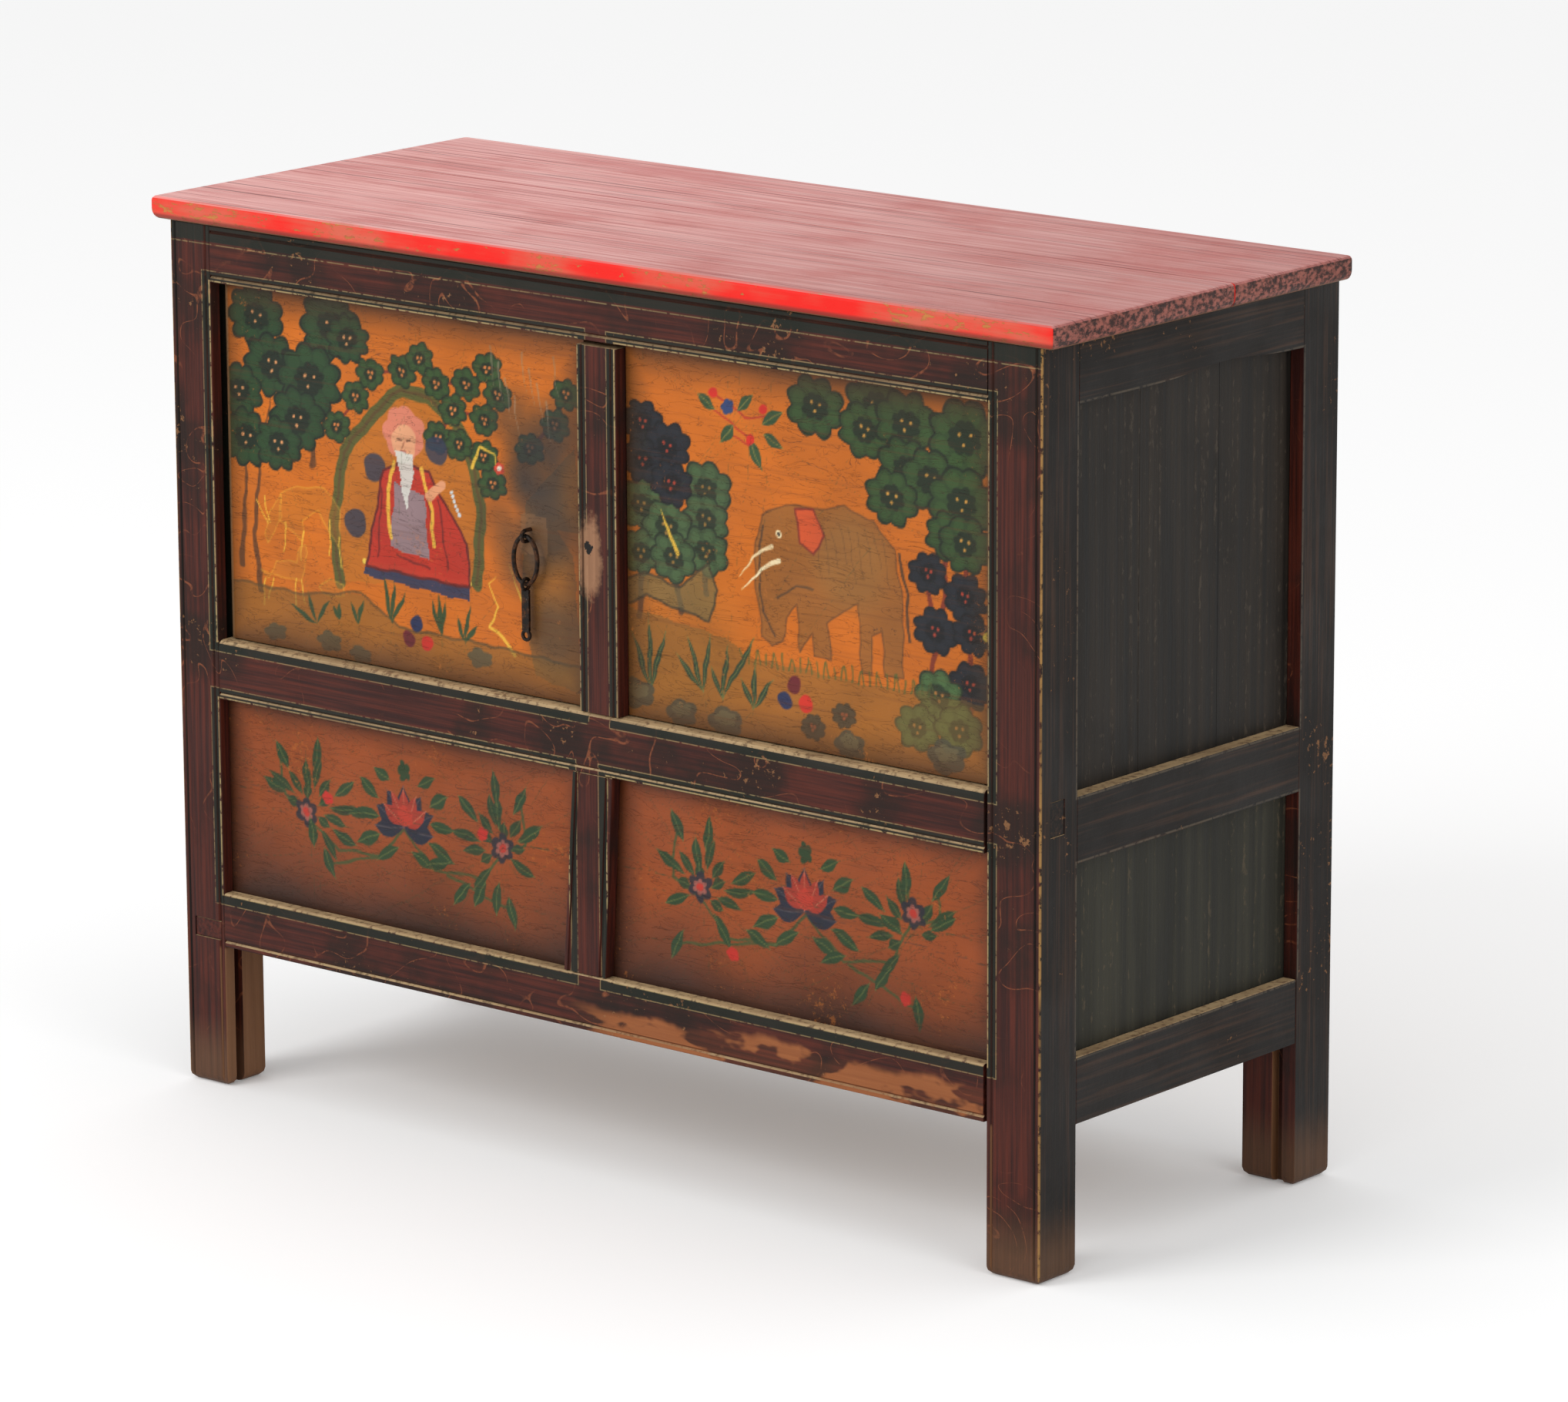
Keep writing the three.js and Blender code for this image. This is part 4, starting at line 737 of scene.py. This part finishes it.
# %% right door elephant
def paint_elephant(c):
    """A thin grey-brown body that lets the ground through, a red ear, pale tusks."""
    body = [(149, 194), (175, 207), (206, 207), (238, 213), (269, 205), (291, 183), (300, 140),
            (300, 78), (281, 75), (278, 112), (266, 108), (268, 76), (256, 76), (253, 133),
            (219, 113), (225, 82), (206, 82), (204, 101), (190, 84), (187, 124),
            (176, 112), (172, 90), (161, 84), (150, 92), (143, 130), (141, 160)]
    c.fill(body, (104, 76, 44), 0.52, (70, 44, 24), 1.6)
    c.disc((244, 166), 38, (132, 98, 52), 0.35, soft=22)
    for crease in range(9):
        top = (206 + 9 * crease, 198 - 3 * (crease % 3))
        foot = (214 + 9 * crease, 150 + 5 * (crease % 4))
        c.stroke([top, foot], 0.9, (64, 42, 24), 0.3)
    ear = [(186, 204), (206, 206), (216, 186), (206, 168), (190, 176)]
    c.fill(ear, (202, 74, 34), 0.85, (110, 34, 20), 2)
    c.stroke([(150, 186), (146, 150), (150, 112), (163, 92)], 2, (66, 46, 30), 0.8)
    c.stroke([(168, 158), (148, 148), (128, 128)], 5, (232, 214, 172), 0.95, True)
    c.stroke([(160, 168), (140, 158), (124, 138)], 4, (226, 204, 160), 0.9, True)
    c.disc((167, 180), 3.4, (232, 214, 170))
    c.disc((167, 180), 1.8, (30, 20, 16))
    c.stroke([(166, 126), (186, 140), (204, 138)], 2, (70, 50, 32), 0.7)
    c.stroke([(296, 180), (304, 150), (306, 110)], 3, (62, 44, 30), 0.8)

# %% right door ground
def paint_right_door(c):
    """The whole right door: trees, elephant, then ground, grass and rocks."""
    paint_blossom_trees(c)
    paint_elephant(c)
    ground = [(0, 0), (400, 0), (400, 66), (319, 69), (269, 66), (190, 70), (136, 70), (110, 84), (0, 96)]
    c.fill(ground, (118, 84, 34), 0.55)
    for step in range(34):
        root = 128 + 6.2 * step
        c.stroke([(root, 66), (root + (step % 3 - 1) * 2.5, 76 + step % 4)], 1.6, (70, 84, 36), 0.8)
    shelf = [(0, 98), (22, 108), (91, 95), (101, 124), (91, 145), (60, 120), (20, 128), (0, 120)]
    c.fill(shelf, (104, 92, 56), 0.7, (52, 44, 28), 2.5)
    grass = [[(26, 27), (25, 88), (6, 75), (43, 80)], [(84, 33), (68, 79), (92, 85), (55, 62)],
             [(105, 31), (112, 78), (141, 89), (94, 57)], [(139, 28), (142, 67), (126, 52), (161, 55)]]
    c.tufts(grass, 6, (40, 58, 36), (120, 120, 60))
    for along, up, size in ((12, 22, 20), (61, 12, 18), (109, 11, 20), (346, 18, 22), (244, 12, 18)):
        c.disc((along, up), size, (70, 66, 50), 0.85, 5, 0.14, 0.7)
        c.disc((along, up + 3), size * 0.6, (120, 108, 72), 0.5, 5, 0.14, 0.6)
    for ball, tint in (((184, 55), (96, 24, 30)), ((174, 40), (34, 40, 72)), ((196, 40), (190, 40, 24))):
        c.disc(ball, 7.5, tint)
    c.disc((388, 125), 4, (226, 200, 70))

# %% [markdown]
# Below the doors two wide boards carry a lotus with a spray of flowers to each side, on a ground that
# goes from orange-brown at the top to dark brown at the foot. One function paints both boards.

# %% low panel lotus
PETAL_BLUE, PETAL_RED, PETAL_VEIN = (30, 32, 46), (150, 46, 30), (190, 120, 90)
SPRAY_GREEN, SPRAY_VEIN = (38, 56, 28), (100, 98, 50)
LOTUS_GREEN, LOTUS_VEIN = (38, 60, 30), (110, 110, 56)

def darken_foot(c):
    """The board's lower part goes to dark brown, a little unevenly along its length."""
    foot = np.clip((84 - c.w) / 90.0, 0, 1) * (0.75 + 0.25 * np.sin(c.u / 31.0))
    c.lay(foot, (40, 21, 13), 0.75)

def paint_spray(c, root, side):
    """Eleven leaves that fan out from a root, their lengths in three steps."""
    for step in range(11):
        turn = np.pi * (0.5 + side * (0.12 + 0.125 * step - 0.55))
        reach = 26 + 13 * ((step * 5) % 3)
        start = swung(root, turn, 0.45 * reach, 0.38 * reach)
        tip = swung(root, turn, 1.15 * reach, 0.95 * reach)
        c.leaf(start, tip, 10, SPRAY_GREEN, SPRAY_VEIN)

def paint_lotus(c, u, w):
    """Seven blue petals round five red ones, a red heart, a green finial and leaves on both sides."""
    for step in range(7):
        turn = np.pi * (-0.08 + 0.193 * step)
        c.leaf((u, w - 12), swung((u, w - 6), turn, 36, 32), 19, PETAL_BLUE, (90, 80, 80))
    for step in range(5):
        turn = np.pi * (0.14 + 0.18 * step)
        c.leaf((u, w - 10), swung((u, w - 6), turn, 28, 30), 14, PETAL_RED, PETAL_VEIN)
    c.disc((u, w), 10, (170, 50, 32), 1.0, 6)
    c.disc((u, w + 40), 8, DARK_GREEN, 0.95, 5, 0.2, 1.3)
    side_leaves = [((28, -20), (58, -34)), ((30, -4), (58, -4)), ((30, 12), (52, 26)),
                   ((16, 30), (36, 38)), ((8, -30), (34, -44))]
    for side in (-1, 1):
        for root, tip in side_leaves:
            start = (u + side * root[0], w + root[1])
            c.leaf(start, (u + side * tip[0], w + tip[1]), 12, LOTUS_GREEN, LOTUS_VEIN)

print("lotus colours", PETAL_BLUE, PETAL_RED)

# %% low panel sprays
def paint_leaf(c, place, heart):
    """A leaf at place that points away from the flower on its side of the heart."""
    flower_u = heart[0] + (112 if place[0] > heart[0] else -114)
    turn = np.arctan2(place[1] - (heart[1] - 14), place[0] - flower_u)
    c.leaf(swung(place, turn, -15, -15), swung(place, turn, 15, 15), 11, (36, 58, 30), LOTUS_VEIN)

def paint_bud(c, place, heart):
    """A small red bud."""
    c.disc(place, 6.5, (176, 38, 26), 1.0, 5)

def paint_flower(c, place, heart):
    """A round flower: dark rim, dull pink petals, red heart."""
    c.disc(place, 14, (34, 30, 40), 0.9, 6, 0.2)
    c.disc(place, 8, (150, 84, 72), 0.9, 6, 0.2)
    c.disc(place, 4, (170, 44, 32), 0.95)

def paint_low_panel(c, heart, stems, sprays):
    """One lotus at heart, and to each side stems and the leaves, buds and flowers of sprays."""
    darken_foot(c)
    c.strokes(stems, 2.6, (62, 72, 34), 0.9)
    u, w = heart
    for side in (-1, 1):
        paint_spray(c, (u + side * 113, w - 12), side)
    paint_lotus(c, u, w)
    for along, up, paint in sprays:
        paint(c, (along, up), heart)

LEAF, BUD, FLOWER = paint_leaf, paint_bud, paint_flower

def left_low(c):
    """The left low panel's lotus and sprays."""
    stems = [[(210, 90), (180, 62), (130, 60), (98, 80), (92, 118)],
             [(210, 90), (245, 60), (300, 62), (326, 88), (322, 120)], [(100, 80), (66, 100), (62, 132)],
             [(324, 86), (352, 100), (348, 134)], [(180, 62), (120, 44)], [(260, 58), (334, 38)]]
    sprays = [(94, 121, LEAF), (106, 143, LEAF), (64, 136, LEAF), (54, 107, LEAF), (118, 104, BUD),
              (93, 88, FLOWER), (99, 71, LEAF), (139, 116, LEAF), (138, 71, LEAF), (160, 97, LEAF),
              (119, 45, LEAF), (320, 123, LEAF), (317, 145, LEAF), (346, 138, LEAF), (357, 109, LEAF),
              (325, 92, FLOWER), (285, 122, LEAF), (302, 102, BUD), (348, 78, LEAF), (248, 66, LEAF),
              (277, 44, LEAF), (298, 47, LEAF), (318, 46, LEAF), (335, 36, LEAF)]
    paint_low_panel(c, (210, 103), stems, sprays)

def right_low(c):
    """The right low panel's lotus and sprays."""
    stems = [[(210, 90), (176, 60), (120, 56), (92, 90), (88, 120)],
             [(210, 90), (250, 58), (300, 66), (322, 104), (318, 136)], [(96, 84), (62, 100), (66, 140)],
             [(322, 100), (352, 112), (352, 134)], [(176, 60), (70, 42)], [(256, 56), (330, 28)]]
    sprays = [(140, 111, LEAF), (281, 117, LEAF), (90, 124, LEAF), (68, 145, LEAF), (102, 144, LEAF),
              (57, 114, LEAF), (93, 96, FLOWER), (68, 81, LEAF), (67, 41, LEAF), (118, 59, LEAF),
              (129, 43, BUD), (156, 61, LEAF), (324, 111, FLOWER), (316, 140, LEAF), (353, 138, LEAF),
              (356, 108, LEAF), (300, 99, LEAF), (238, 58, LEAF), (268, 33, LEAF), (292, 50, LEAF),
              (316, 37, BUD), (329, 26, LEAF)]
    paint_low_panel(c, (208, 104), stems, sprays)

# %% [markdown]
# A painted board is the sweep of its plan outline up its height, with a fine grid on the front so that
# the brushwork has vertices to live on. A door's hinge edge is half round so that it can turn in the frame.

# %% plan outline of a board
GRID_STEP = 0.00125
EDGE_STEPS = 9
REAR_POINTS = 5

def half_round(centre_x, centre_y, radius, way):
    """A half circle's points: way 1 goes front to rear by the right, -1 goes rear to front by the left."""
    arc = np.linspace(-np.pi / 2, np.pi / 2, EDGE_STEPS)[1:-1]
    return np.stack([centre_x + way * radius * np.cos(arc), centre_y + way * radius * np.sin(arc)], 1)

def board_outline(low, high, hinge):
    """The plan outline: a fine front line, a half round hinge edge on the hinge side, a coarse rear line."""
    radius = (high[1] - low[1]) / 2
    middle = (low[1] + high[1]) / 2
    left = low[0] + (radius if hinge < 0 else 0)
    right_edge = high[0] - (radius if hinge > 0 else 0)
    count = int((right_edge - left) / GRID_STEP)
    front = np.stack([np.linspace(left, right_edge, count), np.full(count, low[1])], 1)
    rear = np.stack([np.linspace(right_edge, left, REAR_POINTS), np.full(REAR_POINTS, high[1])], 1)
    pieces = [front, rear]
    if hinge > 0:
        pieces = [front, half_round(right_edge, middle, radius, 1), rear]
    if hinge < 0:
        pieces = [front, rear, half_round(left, middle, radius, -1)]
    return np.concatenate(pieces)

# %% [markdown]
# The outline is swept up the board's height in steps as fine as the front's, and the painter's colours go
# on the front vertices. The other faces are bare wood.

# %% swept board
BARE_BACK = (118, 88, 60)
FRONT_SKIN = 0.0002

def swept_grid(outline, heights):
    """Points and faces of a closed sweep: point (j, i) is the outline's point i at height j, ends capped."""
    rows, around = len(heights), len(outline)
    points = np.empty((rows, around, 3))
    points[:, :, :2] = outline[None]
    points[:, :, 2] = heights[:, None]
    j, i = np.meshgrid(np.arange(rows - 1), np.arange(around), indexing="ij")
    here, beside = j * around + i, j * around + (i + 1) % around
    faces = np.stack([here, beside, beside + around, here + around], -1).reshape(-1, 4).tolist()
    faces.append(list(range(around))[::-1])
    faces.append(list(range((rows - 1) * around, rows * around)))
    return points.reshape(-1, 3), faces

def swept_board(name, node, body, hinge, corner, seed, painter, ground, dark_rim, material):
    """A painted board in place of node, moving with body.

    hinge is -1 or 1 for the side whose edge is half round, 0 for a plain board. corner is the opening's lower
    left one, from which the painter's millimetres are counted.
    """
    low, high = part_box(node)
    heights = np.linspace(low[2], high[2], int((high[2] - low[2]) / GRID_STEP))
    points, faces = swept_grid(board_outline(low, high, hinge), heights)
    canvas = Canvas((points[:, 0] - corner[0]) / MM, (points[:, 2] - corner[1]) / MM, ground)
    painter(canvas)
    canvas.clouds_and_dark_rim(seed, dark_rim)
    canvas.colour[points[:, 1] >= low[1] + FRONT_SKIN] = BARE_BACK
    mesh = bpy.data.meshes.new(name)
    mesh.from_pydata(points.tolist(), [], faces)
    layer = mesh.color_attributes.new("painting", "FLOAT_COLOR", "POINT")
    values = np.ones((len(points), 4), np.float32)
    values[:, :3] = screen_to_linear(canvas.colour)
    layer.data.foreach_set("color", values.ravel())
    mesh.materials.append(material)
    board = add_object(name, mesh)
    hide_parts(node)
    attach(board, body)
    print(name, len(points), "points")

# %% [markdown]
# Over the brushwork lies what age gave it: grain that shows through, hairline cracks, small flakes and a
# thin uneven varnish. It is one material for the doors and one for the low panels.

# %% aged paint
BOARD_GRAIN = (0.16, 0.01, 0.004)

def painted_board(name):
    """The finish over the brushwork: grain, hairline cracks, flakes and a thin uneven varnish."""
    p = Paint(name)
    picture = p.node("ShaderNodeVertexColor", {"layer_name": "painting"})
    streak = p.noise(BOARD_GRAIN, 6.0, 0.6)
    fleck = p.noise(0.005, 4.0, 0.7)
    cloud = p.noise(0.07, 4.0)
    crack = abs(p.noise((0.05, 0.05, 0.012), 4.0, 0.6, 1.0) - 0.5).ramp(0.006, 0.001)
    colour = p.mix(picture, rgb(90, 48, 18), streak.ramp(0.5, 0.78) * 0.35)
    colour = p.mix(colour, rgb(190, 110, 40), (fleck * 0.6 + cloud * 0.4).ramp(0.6, 0.68) * 0.3)
    colour = p.mix(colour, rgb(56, 30, 16), crack * 0.5 + fleck.ramp(0.4, 0.3) * 0.25)
    height = streak * 0.5 + fleck * 0.4 - crack * 0.3
    return p.finish(colour, cloud.ramp(0.3, 0.7, 0.4, 0.62), height, 0.0005, coat=0.1)

door_paint = painted_board("painted_door")
low_paint = painted_board("painted_low_panel")
print("aged paints", door_paint.name, low_paint.name)

# %% the four painted boards
swept_board("left_door_board", "left_door", "left_door_leaf", hinge=-1, corner=(LEFT, DOOR_LOW),
            seed=3, painter=paint_left_door, ground=(190, 98, 12), dark_rim=(62, 36, 14),
            material=door_paint)
swept_board("right_door_board", "right_door", "right_door_leaf", hinge=1, corner=(STILE_RIGHT, DOOR_LOW),
            seed=5, painter=paint_right_door, ground=(188, 97, 14), dark_rim=(66, 40, 16),
            material=door_paint)
swept_board("lower_left_board", "lower_left_panel", "carcass", hinge=0, corner=(LEFT, LOW_LOW),
            seed=7, painter=left_low, ground=(138, 64, 20), dark_rim=(34, 18, 11),
            material=low_paint)
swept_board("lower_right_board", "lower_right_panel", "carcass", hinge=0, corner=(LOW_STILE_RIGHT, LOW_LOW),
            seed=9, painter=right_low, ground=(142, 66, 22), dark_rim=(40, 20, 12),
            material=low_paint)

# %% [markdown]
# Real timbers have no knife-sharp edges: a plane and then years of hands round them. A small bevel on
# the joined frame's own pieces gives each edge a width that catches the light.

# %% finishes on the joined pieces
FINISHES = {
    "top_board": top_paint, "post": upright_paint, "stile": upright_paint, "front": level_paint,
    "back_upper": bare_level, "back_lower": bare_level, "floor_board": bare_deep,
    "side_board": side_black, "left_lower_panel": low_green, "right_lower_panel": low_green,
    "pin": iron, "ring": iron, "hasp": iron,
}
for height in ("top", "middle", "bottom"):
    FINISHES["back_" + height + "_rail"] = level_paint
    FINISHES["left_" + height + "_rail"] = deep_paint
    FINISHES["right_" + height + "_rail"] = deep_paint

def finish_for(name):
    """The finish whose key is found in the name, the longest key first."""
    fitting = [key for key in FINISHES if key in name]
    return FINISHES[max(fitting, key=len)] if fitting else bare_level

WELD_REACH, EDGE_WIDTH = 0.00002, 0.0012
EDGE_ANGLE, FLAT_ANGLE = math.radians(35), math.radians(1)
for name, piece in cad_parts.items():
    piece.data.materials.clear()
    piece.data.materials.append(finish_for("post" if name.endswith("_post") else name))
    timber = any(word in name for word in ("post", "rail", "stile", "top_board"))
    if timber:
        weld = piece.modifiers.new("weld", "WELD")
        weld.merge_threshold = WELD_REACH
        flat = piece.modifiers.new("flat", "DECIMATE")
        flat.decimate_type = "DISSOLVE"
        flat.angle_limit = FLAT_ANGLE
        soft = piece.modifiers.new("soft", "BEVEL")
        soft.width, soft.segments, soft.limit_method = EDGE_WIDTH, 2, "ANGLE"
        soft.angle_limit = EDGE_ANGLE
print("finished", len(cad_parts), "joined pieces")
